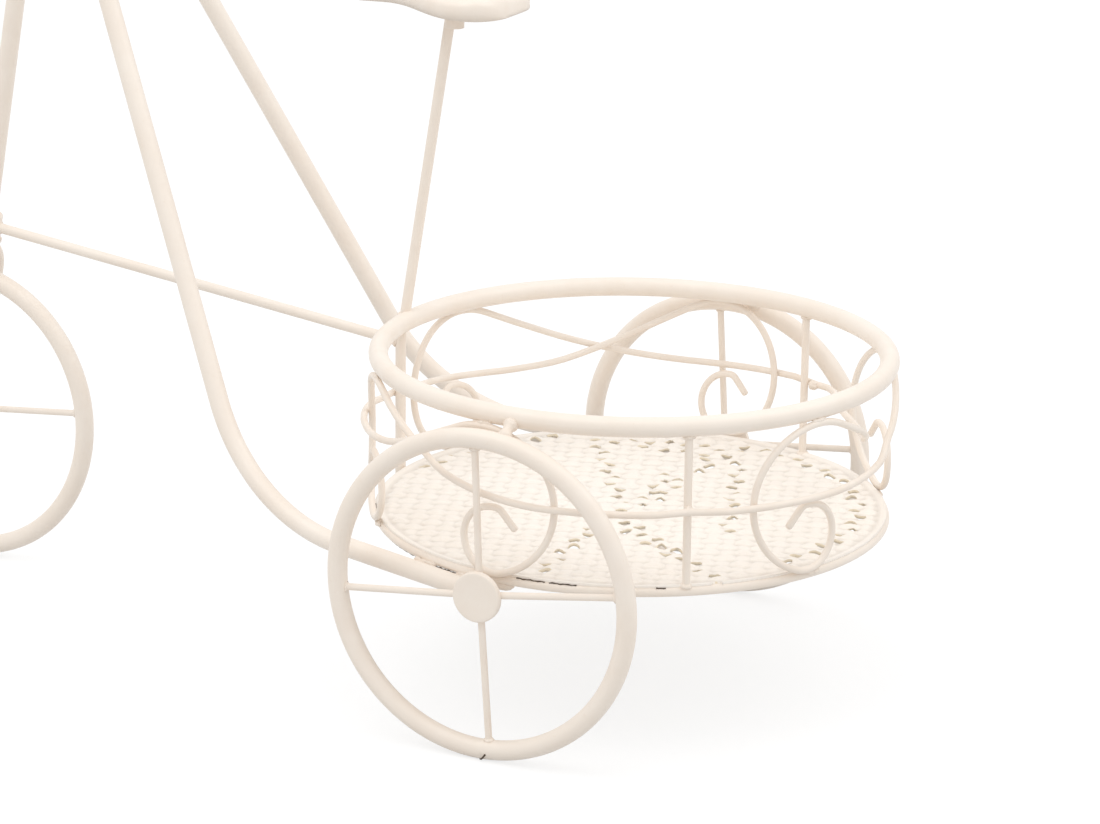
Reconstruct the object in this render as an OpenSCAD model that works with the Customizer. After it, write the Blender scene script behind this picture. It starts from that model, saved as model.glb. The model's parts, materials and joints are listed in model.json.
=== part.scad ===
// Tricycle-shaped plant stand of welded, painted steel tube and wire.
// X runs along the stand with the steered front at -X, -Y is the near side, Z is up.
// The origin is on the ground, under the middle of the overall length and width.
// "Round" angles on the basket start at the front and grow towards the near side.

/* [Basket] */
// Radius of the basket's rings, to the middle of their tube
basket_r = 130; // [110:1:150]
// Height from the middle of the floor ring to the middle of the top ring
basket_h = 83.5; // [70:0.5:100]
// Tube diameter of the top ring
ring_d = 10; // [8:0.5:12]
// Rod diameter of the floor ring
floor_ring_d = 5; // [4:0.5:6]
// Diameter of the wall posts between the rings
post_d = 4; // [3:0.5:5]
// Where the wall posts stand, as round angles
post_turns = [127.5, 251];
// Thickness of the pierced floor sheet
sheet_t = 1.2; // [0.8:0.1:2]
// How far the floor sheet reaches past the middle of the floor ring
sheet_lip = 1; // [0.4:0.1:1.6]
// Length of one eyelet in the floor sheet
eyelet_len = 6.4; // [4:0.2:7]
// Width of one eyelet in the floor sheet
eyelet_w = 5; // [3:0.2:5.6]
// Distance from one eyelet to the next along a row
eyelet_step = 10.5; // [9:0.5:16]
// How far each second eyelet of a row is stepped to its other side
eyelet_sway = 1.8; // [0:0.1:3]
// How far the floor sheet's weave and eyelets are turned
weave_turn = 20; // [0:1:45]

/* [Scroll wires] */
// Diameter of the scroll wire
wire_d = 3.6; // [3:0.2:4]
// How far the wires' curls stand out from the rings' middle line
wire_out = 3.6; // [3:0.1:4.4]
// Play between two wires that cross, and between a wire and a ring
wire_play = 0.15; // [0.1:0.05:0.4]
// Depth of the wires' long middle run under the top ring
run_drop = 42; // [36:1:48]
// Slope of a wire on its way up to a curl
run_slope = 24; // [18:1:30]
// Radius of the small inner curl
hook_r = 17; // [13:0.5:20]
// Straight end of a wire inside its curl
hook_tail = 11; // [6:1:14]

/* [Wheels] */
// Radius of a wheel rim, to the middle of its tube
rim_r = 79.5; // [68:0.5:90]
// Tube diameter of a wheel rim
rim_d = 10; // [8:0.5:12]
// Diameter of a spoke
spoke_d = 3.5; // [3:0.5:5]
// How far the spokes are turned from upright
spoke_turn = 5.5; // [0:0.5:12]
// Further turn of each spoke of the near wheel: rear, upper, front, lower
near_spoke_shifts = [3, -3, 0.5, -1.2];
// Further turn of each spoke of the far wheel: rear, upper, front, lower
far_spoke_shifts = [0, -2, 0, 0];
// Gap between the top ring and a rear wheel rim
wheel_gap = 4; // [3:0.5:8]
// How far the rear axle lies in front of the basket's middle
axle_forward = 12.4; // [0:0.2:24]
// Diameter of the rear axle
axle_d = 5; // [4:0.5:8]
// Diameter of the flat disc on each end of the rear axle
disc_d = 25.5; // [18:0.5:28]
// Thickness of that disc
disc_t = 3; // [2:0.5:5]
// Diameter of the lug that joins the top ring to a rear rim
lug_d = 5; // [4:0.5:6]
// How far a lug is let into the ring and the rim on either side of it
lug_bite = 1; // [0.6:0.1:1.6]
// How far the near lug and the far lug lie in front of the basket's middle
lug_forward = [1, -4.5];

/* [Frame] */
// Diameter of the two bent frame tubes
frame_d = 10; // [8:0.5:12]
// Gap between a frame tube's lower end and the rear spokes beside it
frame_side_gap = 2.5; // [2:0.5:6]
// How far the top of a frame tube lies under the floor ring where it meets the axle
frame_below = 0.2; // [0:0.1:2]
// Distance from the basket's middle line to the frame tubes' knee, past the basket's radius
knee_ahead = 35.6; // [28:0.2:50]
// How far a frame tube is drawn in between the axle and its knee
knee_in = 30.5; // [20:0.5:36]
// Rise of a frame tube from the axle to its knee
knee_up = 9; // [6:0.5:14]
// Bend radius at the knee
knee_r = 107; // [85:1:115]
// Distance ahead from the knee to the point where the two tubes would meet
meet_ahead = 200.6; // [180:0.2:220]
// Height from the knee to that point
meet_up = 410; // [380:1:440]
// How deep the frame tubes are notched against the head sleeve
head_notch = 2.5; // [1.5:0.1:3.5]
// Diameter of the upright rod at the basket's front
rod_d = 5.5; // [5:0.5:7]
// Depth of the brace rod's rear end under the middle of the top ring
brace_drop = 12.6; // [10:0.2:18]
// How far the seat post's foot lies outside the top ring's middle line
seat_foot = 3; // [0:0.1:4]
// Backward lean of the seat post
seat_lean = 9.2; // [4:0.2:14]
// Length of the seat post above the top ring's middle
seat_len = 180; // [150:1:200]

/* [Saddle] */
// Length of the saddle
saddle_len = 92; // [80:1:110]
// Width of the saddle at its rear
saddle_w = 64; // [52:1:76]
// Width of the saddle's nose
nose_w = 16; // [12:1:22]
// Height of the saddle's side skirt
saddle_h = 12; // [10:0.5:16]
// Thickness of the saddle's pressed sheet
saddle_t = 2; // [1.5:0.1:3]
// Outer diameter of the socket under the saddle
socket_d = 10; // [9:0.5:13]

/* [Steering] */
// Backward lean of the steering axis
head_lean = 10; // [6:0.5:16]
// Outer diameter of the head sleeve and the lower sleeve
sleeve_d = 16; // [14.5:0.5:20]
// Length of the head sleeve
head_len = 56; // [44:1:70]
// Length of the lower sleeve
lower_len = 14; // [10:0.5:18]
// Diameter of the steering column
column_d = 10; // [8:0.5:11]
// Radial play of the column in its sleeves, and of the hub on its axle
run_play = 0.06; // [0.02:0.01:0.1]
// Play along an axis between a turning piece and its neighbour
end_play = 0.3; // [0.2:0.05:0.5]
// Thickness of the washers on the column
washer_t = 1.2; // [0.8:0.1:2]
// Gap between the front wheel and the fork's arch
arch_gap = 8.5; // [6:0.5:14]
// Diameter of the fork's rod
fork_d = 7; // [6:0.5:8]
// Distance from the wheel's middle to the middle of a fork leg
fork_half = 16; // [14.5:0.5:20]
// Outer diameter of the eyes at the ends of the fork
eye_d = 16; // [13:0.5:20]
// Diameter of the front axle
pin_d = 6; // [5:0.5:7]
// Outer diameter of the front hub's barrel
hub_d = 13; // [11:0.5:16]
// Length of the front hub
hub_len = 22; // [18:0.5:22]
// Thickness of the hub's two flanges
flange_t = 3; // [2:0.5:4]
// Width across the flats of the axle nuts
nut_w = 10; // [9:0.5:13]
// Height of an axle nut's six-sided part
nut_h = 5; // [4:0.5:7]

/* [Handlebar] */
// Diameter of the handlebar
bar_d = 8; // [6:0.5:9]
// Half length of the bar between its two bends
bar_arm = 78; // [60:1:90]
// How far the bar's ends reach back
bar_back = 92; // [80:1:110]
// How far the bar's ends stand out past its bends
bar_flare = 14; // [0:1:24]
// Raising of the bar's ends
bar_tilt = 6; // [0:1:12]
// Bend radius of the bar
bar_bend = 24; // [16:1:30]
// Outer diameter of the stem clamp
stem_d = 20; // [17:0.5:24]
// Height of the stem clamp
stem_h = 34; // [30:0.5:44]
// Length of a grip
grip_len = 52; // [44:1:60]
// Outer diameter of a grip
grip_d = 14; // [12:0.5:17]
// Thickness of a grip's closed end
grip_end = 4; // [3:0.5:6]
// Rounding of a grip's closed end
grip_round = 3; // [1:0.5:4]
// Diameter of the clamp bolt
bolt_d = 4; // [3:0.5:5]

/* [Hidden] */
$fn = 64;
steel = "AntiqueWhite";
rubber = "Wheat";

// Heights and the axle
axle_z = rim_r + rim_d / 2;
floor_z = axle_z + axle_d / 2 + floor_ring_d / 2;
ring_z = floor_z + basket_h;
wheel_y = basket_r + ring_d / 2 + wheel_gap + rim_d / 2;

// Scroll wires: where they lie round the basket and how far each one reaches
// Each row: round angle of the middle, then as shares of the basket's radius the reach to
// the left and right curl, the sag of the left and right run and the inward bend of the
// left run, then how far from the middle the left and the right run stay outside, and
// last the left curl's width as a share of its height
scrolls = [
    [-1, 1.4645, 1.4615, 0.023, -0.058, 0, 36, 66, 0.85],
    [127.5, 1.522, 1.597, 0, 0, 0, 52, 50, 1],
    [249, 1.5846, 1.57, 0.023, 0, 0.118, 0, 66, 1]
];
fall_span = 12;
sag_turn = -8;
sag_end = 65;
middle_span = 8;
curl_layer = basket_r + wire_out;
run_layer = curl_layer + wire_d + wire_play;
over_upright = basket_r + floor_ring_d / 2 + rod_d + wire_d / 2 + wire_play;
over_post = basket_r + post_d / 2 + wire_d / 2 + wire_play;
top_touch = ring_d / 2 + wire_d / 2 + wire_play;
floor_touch = floor_ring_d / 2 + wire_d / 2 + wire_play;
crest_z = ring_z - sqrt(max(0, pow(top_touch, 2) - pow(wire_out, 2)));
base_z = floor_z + sqrt(max(0, pow(floor_touch, 2) - pow(wire_out, 2)));
curl_r = (crest_z - base_z) / 2;
curl_z = (crest_z + base_z) / 2;
run_z = ring_z - run_drop;
wire_sides = 8;

// Sides and steps of the bent tubes
tube_sides = 24;
bend_steps = 12;

// Frame tubes, from the axle over the knee to the head
frame_y = wheel_y - spoke_d / 2 - frame_side_gap - frame_d / 2;
frame_z = floor_z - (floor_ring_d + frame_d) / 2 - frame_below;
knee_forward = basket_r + knee_ahead;
knee_y = frame_y - knee_in;
knee_z = frame_z + knee_up;
head_side = sleeve_d / 2 + frame_d / 2 - head_notch;
head_share = 1 - head_side / knee_y;
head_forward = knee_forward + meet_ahead * head_share;
head_z = knee_z + meet_up * head_share;

// The steering axis runs from the front hub up to the head
hub_forward = head_forward + (head_z - axle_z) * tan(head_lean);
head_t = (head_z - axle_z) / cos(head_lean);
wheel_out = rim_r + rim_d / 2;
arch_t = wheel_out + arch_gap + fork_d / 2 - fork_half;
crown_t = arch_t + fork_half + fork_d / 2;
lower_t = crown_t + 2 * end_play + washer_t + lower_len / 2;
stem_t = head_t + head_len / 2 + 2 * end_play + washer_t;
bar_t = stem_t + stem_h - bar_d / 2 - 4;

// The origin is midway between the front wheel and the rear wire
rear_reach = run_layer + wire_d / 2 * cos(180 / wire_sides);
basket_x = (hub_forward + wheel_out - rear_reach) / 2;
upright_r = basket_r + floor_ring_d / 2 + rod_d / 2;

// Rows of eyelets, the petals of a flower: start and end, measured rearwards and towards the near side
eyelet_rows = [
    [[-58, -80], [2, 12]],
    [[-4, -52], [5, 0]],
    [[6, -47], [9, -12]],
    [[21, -88], [62, 18]],
    [[4, -86], [10, -66]],
    [[12, 30], [93, 92]],
    [[19, 42], [60, 71]],
    [[1, 48], [8, 118]]
];
// Arcs of eyelets near the rim: share of the sheet's radius, first and last round angle
eyelet_arcs = [
    [0.93, 156, 218], [0.94, 226, 264], [0.86, 264, 306], [0.76, 264, 292], [0.97, 316, 358]
];

// Places on the stand: forward of the basket's middle, towards the near side, up
function place(forward, near, up) = [basket_x - forward, -near, up];
function round_place(turn, r, up) = place(r * cos(turn), r * sin(turn), up);
function unit(v) = v / norm(v);
function smooth(t) = let (c = min(1, max(0, t))) c * c * (3 - 2 * c);

// Straight rod between two points
module rod(a, b, d) {
    l = norm(b - a);
    translate(a)
        rotate([0, acos((b.z - a.z) / l), atan2(b.y - a.y, b.x - a.x)])
            cylinder(h = l, d = d);
}

// Places along a round bend at a corner, from one straight to the next
function bend_places(a, corner, b, r) =
    let (
        u = unit(a - corner),
        w = unit(b - corner),
        phi = acos(u * w),
        middle = corner + unit(u + w) * r / sin(phi / 2),
        first = unit(corner + u * r / tan(phi / 2) - middle)
    )
    [for (i = [0 : bend_steps])
        let (t = (180 - phi) * i / bend_steps)
        middle + r * (first * cos(t) - u * sin(t))];

// Route with a round bend at each of its inner corners
function bent_route(p, r) =
    concat(
        [p[0]],
        [for (i = [1 : len(p) - 2])
            for (q = bend_places(p[i - 1], p[i], p[i + 1], r))
                q],
        [p[len(p) - 1]]
    );

// Round tube swept along a route, where no stretch runs along the given sideways directions
module swept_tube(route, sideways, d, sides) {
    last = len(route) - 1;
    points = [
        for (i = [0 : last])
            let (
                way = unit(route[min(last, i + 1)] - route[max(0, i - 1)]),
                side = unit(cross(way, sideways[i])),
                up = cross(side, way)
            )
            for (k = [0 : sides - 1])
                let (a = 360 * (k + 0.5) / sides)
                route[i] + d / 2 * (cos(a) * up + sin(a) * side)
    ];
    faces = concat(
        [[for (k = [0 : sides - 1]) k]],
        [for (i = [0 : last - 1])
            for (k = [0 : sides - 1])
                let (a = i * sides + k, b = i * sides + (k + 1) % sides)
                [a, a + sides, b + sides]],
        [for (i = [0 : last - 1])
            for (k = [0 : sides - 1])
                let (a = i * sides + k, b = i * sides + (k + 1) % sides)
                [a, b + sides, b]],
        [[for (k = [sides - 1 : -1 : 0]) last * sides + k]]
    );
    polyhedron(points = points, faces = faces);
}

// Tube that lies in one plane and is bent with one radius at each inner corner
module bent_tube(p, r, d) {
    route = bent_route(p, r);
    across = unit(cross(p[0] - p[1], p[2] - p[1]));
    swept_tube(route, [for (q = route) across], d, tube_sides);
}

// Ring of round tube that lies level
module tube_ring(r, d) {
    rotate_extrude($fn = 120)
        translate([r, 0])
            circle(d = d);
}

// A child drawn on the steering axis, with the front hub at its zero
module on_steering_axis(t = 0) {
    translate(place(hub_forward, 0, axle_z))
        rotate([0, head_lean, 0])
            translate([0, 0, t])
                children();
}

// A child drawn about a wheel's middle, with the wheel's axis along Z
module at_rear_wheel(side) {
    translate(place(axle_forward, side * wheel_y, axle_z))
        rotate([90, 0, 0])
            children();
}

module at_front_wheel() {
    translate(place(hub_forward, 0, axle_z))
        rotate([90, 0, 0])
            children();
}

module at_basket(up) {
    translate(place(0, 0, up))
        children();
}

// Four spokes to the rim, from a round core or from where they would meet each other
module spokes(core_d, shifts = [0, 0, 0, 0]) {
    inner_d = max(core_d, 1.7 * spoke_d);
    difference() {
        for (i = [0 : 3]) {
            rotate([0, 90, spoke_turn + shifts[i] + 90 * i])
                cylinder(h = rim_r, d = spoke_d);
        }
        cylinder(h = 3 * spoke_d, d = inner_d, center = true);
        tube_ring(rim_r, rim_d);
    }
}

// The basket
module top_ring() {
    color(steel)
        at_basket(ring_z)
            tube_ring(basket_r, ring_d);
}

module floor_ring() {
    color(steel)
        at_basket(floor_z)
            tube_ring(basket_r, floor_ring_d);
}

// One diamond-shaped eyelet, drawn as a cutter
module eyelet(turn) {
    rotate(turn)
        linear_extrude(height = 3 * sheet_t, center = true)
            polygon([[-eyelet_len / 2, 0], [0, -eyelet_w / 2], [eyelet_len / 2, 0], [0, eyelet_w / 2]]);
}

// Straight row of eyelets, stepped to either side in turn
module eyelet_row(a, b) {
    count = max(2, round(norm(b - a) / eyelet_step));
    aside = [a.y - b.y, b.x - a.x] / norm(b - a);
    for (i = [0 : count]) {
        p = a + (b - a) * i / count + eyelet_sway * (1 - 2 * (i % 2)) * aside;
        translate([p.x, -p.y, 0])
            eyelet(weave_turn);
    }
}

// Row of eyelets along the rim
module eyelet_arc(share, first, last) {
    middle_r = (basket_r - floor_ring_d) * share;
    count = round((last - first) * PI / 180 * middle_r / eyelet_step);
    for (i = [0 : count]) {
        r = middle_r + eyelet_sway * (1 - 2 * (i % 2));
        turn = first + (last - first) * i / count;
        translate([-r * cos(turn), -r * sin(turn), 0])
            eyelet(weave_turn);
    }
}

module floor_sheet() {
    color(steel)
        at_basket(floor_z + floor_ring_d / 2 + sheet_t / 2)
            difference() {
                cylinder(h = sheet_t, r = basket_r + sheet_lip, center = true, $fn = 120);
                for (row = eyelet_rows) {
                    eyelet_row(row[0], row[1]);
                }
                for (arc = eyelet_arcs) {
                    eyelet_arc(arc[0], arc[1], arc[2]);
                }
                for (turn = post_turns) {
                    translate([-basket_r * cos(turn), -basket_r * sin(turn), 0])
                        cylinder(h = 3 * sheet_t, d = post_d + 2 * end_play, center = true);
                }
            }
}

module wall_posts() {
    color(steel)
        for (turn = post_turns) {
            rod(round_place(turn, basket_r, floor_z + floor_ring_d / 2),
                round_place(turn, basket_r, ring_z - ring_d / 2), post_d);
        }
}

// Upright rod at the front, outside the floor ring and under the top ring
module front_upright() {
    inner_edge = upright_r - rod_d / 2 - basket_r;
    top = ring_z - sqrt(pow(ring_d / 2, 2) - pow(inner_edge, 2)) - wire_play / 2;
    color(steel)
        rod(place(upright_r, 0, floor_z - floor_ring_d), place(upright_r, 0, top), rod_d);
}

// Right half of a scroll wire, unrolled: along the wall from its middle, and up
function scroll_half(reach, width) =
    let (
        start_turn = 90 + run_slope,
        slope = atan(tan(run_slope) / width),
        start = [reach + width * curl_r * cos(start_turn), curl_z + curl_r * sin(start_turn)],
        rise = start.y - run_z,
        ease_r = 0.57 * rise / (1 - cos(slope)),
        ease_up = ease_r * (1 - cos(slope)),
        slant = (rise - ease_up) / sin(slope),
        ease_from = start.x - slant * cos(slope) - ease_r * sin(slope)
    )
    concat(
        [for (i = [0 : 4]) [ease_from * i / 5, run_z]],
        [for (i = [0 : 7])
            let (a = slope * i / 7)
            [ease_from + ease_r * sin(a), run_z + ease_r * (1 - cos(a))]],
        [for (i = [1 : 2])
            [ease_from + ease_r * sin(slope), run_z + ease_up]
            + slant * i / 3 * [cos(slope), sin(slope)]],
        [for (p = scroll_curl(start_turn)) [reach + width * p.x, curl_z + p.y]]
    );

// A round curl about its middle, from where the wire comes in to its straight end
function scroll_curl(start_turn) =
    let (
        joint_turn = -74,
        hook_mid = (curl_r - hook_r) * [cos(joint_turn), sin(joint_turn)],
        hook_turn = joint_turn - 200,
        tip_r = 6,
        tip_mid = hook_mid + (hook_r - tip_r) * [cos(hook_turn), sin(hook_turn)],
        tip_turn = hook_turn - 45,
        tip = tip_mid + tip_r * [cos(tip_turn), sin(tip_turn)]
    )
    concat(
        [for (i = [0 : 17])
            let (a = start_turn + (joint_turn - start_turn) * i / 17)
            curl_r * [cos(a), sin(a)]],
        [for (i = [1 : 11])
            let (a = joint_turn + (hook_turn - joint_turn) * i / 11)
            hook_mid + hook_r * [cos(a), sin(a)]],
        [for (i = [1 : 3])
            let (a = hook_turn + (tip_turn - hook_turn) * i / 3)
            tip_mid + tip_r * [cos(a), sin(a)]],
        [tip + hook_tail * [sin(tip_turn), -cos(tip_turn)]]
    );

// How far from the basket's middle a wire runs: outside its neighbours' curls on the long
// run, close to the post or upright at its middle, and in under the top ring at its curls
function scroll_layer(angle, middle_layer, scroll) =
    let (
        past = angle < 0 ? -angle - scroll[6] : angle - scroll[7],
        fall = smooth(past / fall_span),
        near_middle = 1 - smooth(abs(angle) / middle_span),
        run = run_layer + (middle_layer - run_layer) * near_middle,
        inward = smooth((-angle - 1) / 22) * (1 - smooth((-angle - 50) / 32))
    )
    run + (curl_layer - run) * fall - scroll[5] * basket_r * inward;

// How far a run hangs under its unbent line
function scroll_sag(angle, scroll) =
    let (
        left = angle < sag_turn,
        share = (angle - sag_turn) / (left ? -sag_end - sag_turn : sag_end - sag_turn)
    )
    share > 1 ? 0 : basket_r * scroll[left ? 3 : 4] * pow(sin(180 * share), 2);

function scroll_point(p, middle_layer, scroll) =
    let (angle = p.x / basket_r * 180 / PI)
    round_place(scroll[0] + angle, scroll_layer(angle, middle_layer, scroll), p.y - scroll_sag(angle, scroll));

function scroll_route(scroll, middle_layer) =
    let (
        left = scroll_half(scroll[1] * basket_r, scroll[8]),
        right = scroll_half(scroll[2] * basket_r, 1),
        flat = concat([for (i = [len(left) - 1 : -1 : 1]) [-left[i].x, left[i].y]], right)
    )
    [for (p = flat) scroll_point(p, middle_layer, scroll)];

// Wire swept along a route that lies round the basket's middle line
module swept_wire(route) {
    middle = place(0, 0, 0);
    outward = [for (q = route) [q.x - middle.x, q.y - middle.y, 0]];
    swept_tube(route, outward, wire_d, wire_sides);
}

module front_scroll_wire() {
    color(steel)
        swept_wire(scroll_route(scrolls[0], over_upright));
}

module near_scroll_wire() {
    color(steel)
        swept_wire(scroll_route(scrolls[1], over_post));
}

module far_scroll_wire() {
    color(steel)
        swept_wire(scroll_route(scrolls[2], over_post));
}

// The rear wheels and their axle
module rear_axle() {
    reach = wheel_y + spoke_d / 2;
    color(steel)
        rod(place(axle_forward, reach, axle_z), place(axle_forward, -reach, axle_z), axle_d);
}

module near_rim() {
    color(steel)
        at_rear_wheel(1)
            tube_ring(rim_r, rim_d);
}

module far_rim() {
    color(steel)
        at_rear_wheel(-1)
            tube_ring(rim_r, rim_d);
}

module near_spokes() {
    color(steel)
        at_rear_wheel(1)
            spokes(axle_d, near_spoke_shifts);
}

module far_spokes() {
    color(steel)
        at_rear_wheel(-1)
            spokes(axle_d, far_spoke_shifts);
}

module near_hub_disc() {
    color(steel)
        at_rear_wheel(1)
            translate([0, 0, spoke_d / 2])
                cylinder(h = disc_t, d = disc_d);
}

module far_hub_disc() {
    color(steel)
        at_rear_wheel(-1)
            translate([0, 0, -spoke_d / 2 - disc_t])
                cylinder(h = disc_t, d = disc_d);
}

// Lugs that fill the gap between the top ring's side and the rear rims beside it
module wheel_lugs() {
    color(steel)
        for (i = [0, 1]) {
            side = 1 - 2 * i;
            forward = lug_forward[i];
            rim_z = axle_z + sqrt(pow(rim_r, 2) - pow(axle_forward - forward, 2));
            low = [wheel_y - rim_d / 2 + lug_bite, min(rim_z, ring_z) - lug_bite];
            high = [sqrt(pow(basket_r, 2) - pow(forward, 2)) + (ring_d + lug_d) / 2 - lug_bite, ring_z + 2];
            difference() {
                rod(place(forward, side * low.x, low.y), place(forward, side * high.x, high.y), lug_d);
                at_basket(ring_z)
                    tube_ring(basket_r, ring_d);
                at_rear_wheel(side)
                    tube_ring(rim_r, rim_d);
            }
        }
}

// The frame
module frame_tube(side) {
    difference() {
        bent_tube([
            place(axle_forward + 0.4 * axle_d, side * frame_y, frame_z),
            place(knee_forward, side * knee_y, knee_z),
            place(head_forward, side * head_side, head_z)
        ], knee_r, frame_d);
        translate(place(axle_forward, 0, axle_z))
            rotate([90, 0, 0])
                cylinder(h = 2 * wheel_y, d = axle_d, center = true);
        floor_ring();
        on_steering_axis(head_t)
            cylinder(h = 2 * head_len, d = sleeve_d, center = true);
    }
}

module near_frame_tube() {
    color(steel)
        frame_tube(1);
}

module far_frame_tube() {
    color(steel)
        frame_tube(-1);
}

module brace_rod() {
    color(steel)
        difference() {
            rod(place(upright_r, 0, ring_z - brace_drop),
                place(hub_forward - lower_t * sin(head_lean), 0, axle_z + lower_t * cos(head_lean)),
                rod_d);
            translate(place(upright_r, 0, floor_z))
                cylinder(h = basket_h, d = rod_d + 2 * wire_play);
            on_steering_axis(lower_t)
                cylinder(h = 2 * lower_len, d = sleeve_d, center = true);
        }
}

// Top end of the seat post
function seat_top() =
    place(basket_r + seat_foot - seat_len * sin(seat_lean), 0, ring_z + seat_len * cos(seat_lean));

module seat_post() {
    color(steel)
        difference() {
            rod(place(basket_r + seat_foot, 0, ring_z), seat_top(), rod_d);
            at_basket(ring_z)
                tube_ring(basket_r, ring_d);
            at_basket(ring_z - ring_d)
                cylinder(h = ring_d + ring_d / 6, r = basket_r + ring_d);
            saddle();
        }
}

// Outline of the saddle seen from above, made smaller all round by an inset
module saddle_form(inset) {
    tail_r = saddle_w / 3.2;
    hull() {
        for (side = [1, -1]) {
            translate([saddle_len / 2 - tail_r, side * (saddle_w / 2 - tail_r), 0])
                cylinder(h = saddle_h - inset, r1 = tail_r - inset, r2 = tail_r * 0.86 - inset, $fn = 40);
            translate([saddle_len / 2 - tail_r, side * (saddle_w / 2 - tail_r) * 0.7, 0])
                cylinder(h = saddle_h + 2 - inset, r = tail_r * 0.62 - inset / 2, $fn = 40);
        }
        translate([nose_w / 2 - saddle_len / 2, 0, 0])
            cylinder(h = saddle_h - inset, r1 = nose_w / 2 - inset, r2 = nose_w * 0.42 - inset, $fn = 40);
    }
}

// Pressed saddle, open underneath
module saddle() {
    color(steel)
        translate(seat_top())
            translate([-saddle_len * 0.12, 0, -saddle_h + saddle_t])
                difference() {
                    saddle_form(0);
                    translate([0, 0, -saddle_t])
                        saddle_form(saddle_t);
                }
}

// Socket under the saddle that takes the seat post
module saddle_socket() {
    color(steel)
        difference() {
            translate(seat_top() - [0, 0, saddle_h + 8])
                cylinder(h = saddle_h + 8, d = socket_d);
            rod(place(basket_r + seat_foot, 0, ring_z), seat_top(), rod_d + 2 * run_play);
            saddle();
        }
}

module head_sleeve() {
    color(steel)
        on_steering_axis(head_t)
            difference() {
                cylinder(h = head_len, d = sleeve_d, center = true);
                cylinder(h = 2 * head_len, d = column_d + 2 * run_play, center = true);
            }
}

module lower_sleeve() {
    color(steel)
        on_steering_axis(lower_t)
            difference() {
                cylinder(h = lower_len, d = sleeve_d, center = true);
                cylinder(h = 2 * lower_len, d = column_d + 2 * run_play, center = true);
            }
}

// The steered pieces
module steering_column() {
    top = stem_t + stem_h / 2 - 2;
    color(steel)
        on_steering_axis(crown_t)
            cylinder(h = top - crown_t, d = column_d);
}

// Fork: an arch over the wheel, two legs and two eyes
module fork() {
    color(steel)
        on_steering_axis()
            difference() {
                union() {
                    translate([0, 0, arch_t])
                        rotate([90, 0, 90])
                            rotate_extrude(angle = 180)
                                translate([fork_half, 0])
                                    circle(d = fork_d);
                    translate([0, 0, arch_t + fork_half])
                        cylinder(h = fork_d / 2, d = column_d);
                    for (side = [1, -1]) {
                        translate([0, side * fork_half, 0])
                            cylinder(h = arch_t, d = fork_d);
                        translate([0, side * fork_half, 0])
                            rotate([90, 0, 0])
                                cylinder(h = fork_d, d = eye_d, center = true);
                    }
                }
                rotate([90, 0, 0])
                    cylinder(h = 4 * fork_half, d = pin_d + 2 * run_play, center = true);
            }
}

module upper_washer() {
    color(steel)
        on_steering_axis(head_t + head_len / 2 + end_play)
            difference() {
                cylinder(h = washer_t, d = sleeve_d + 2);
                translate([0, 0, -washer_t])
                    cylinder(h = 3 * washer_t, d = column_d + 2 * run_play);
            }
}

module lower_washer() {
    color(steel)
        on_steering_axis(lower_t - lower_len / 2 - end_play - washer_t)
            difference() {
                cylinder(h = washer_t, d = sleeve_d + 2);
                translate([0, 0, -washer_t])
                    cylinder(h = 3 * washer_t, d = column_d + 2 * run_play);
            }
}

// Clamp that joins the column and the handlebar
module stem_clamp() {
    color(steel)
        on_steering_axis(stem_t)
            difference() {
                cylinder(h = stem_h, d = stem_d);
                translate([0, 0, -1])
                    cylinder(h = 1 + stem_h / 2 - 2, d = column_d + 2 * run_play);
                translate([0, 0, bar_t - stem_t])
                    rotate([90, 0, 0])
                        cylinder(h = 2 * stem_d, d = bar_d + 2 * run_play, center = true);
                translate([-stem_d, 0, stem_h / 4])
                    rotate([0, 90, 0])
                        cylinder(h = stem_d, d = bolt_d + 2 * run_play);
            }
}

module clamp_bolt() {
    inside = column_d / 2 + run_play;
    color(steel)
        on_steering_axis(stem_t + stem_h / 4)
            rotate([0, -90, 0])
                union() {
                    translate([0, 0, inside])
                        cylinder(h = stem_d / 2 - inside, d = bolt_d);
                    translate([0, 0, stem_d / 2])
                        cylinder(h = bolt_d * 0.7, d = bolt_d * 1.9, $fn = 6);
                }
}

// Route of the handlebar in its own plane, rearwards and sideways
bar_route = [
    [bar_back, -bar_arm - bar_flare, 0],
    [0, -bar_arm, 0],
    [0, bar_arm, 0],
    [bar_back, bar_arm + bar_flare, 0]
];

// A child drawn in the handlebar's plane
module in_bar_plane() {
    on_steering_axis(bar_t)
        rotate([0, -bar_tilt, 0])
            children();
}

module handlebar() {
    color(steel)
        in_bar_plane()
            bent_tube(bar_route, bar_bend, bar_d);
}

// Sleeve grip with a closed, rounded end
module grip(side) {
    end = bar_route[side > 0 ? 3 : 0];
    in_bar_plane()
        translate(end)
            rotate([0, 0, side * atan2(bar_flare, bar_back)])
                rotate([0, 90, 0])
                    translate([0, 0, grip_end - grip_len])
                        rotate_extrude()
                            polygon([
                                [bar_d / 2 + run_play, 0],
                                [grip_d / 2, 0],
                                [grip_d / 2, grip_len - grip_round],
                                [grip_d / 2 - grip_round, grip_len],
                                [0, grip_len],
                                [0, grip_len - grip_end + run_play],
                                [bar_d / 2 + run_play, grip_len - grip_end + run_play]
                            ]);
}

module near_grip() {
    color(rubber)
        grip(-1);
}

module far_grip() {
    color(rubber)
        grip(1);
}

// The front wheel and its axle
spacer_t = fork_half - fork_d / 2 - hub_len / 2 - end_play;

module front_axle() {
    reach = fork_half + fork_d / 2 + nut_h + 1;
    color(steel)
        at_front_wheel()
            cylinder(h = 2 * reach, d = pin_d, center = true);
}

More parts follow.
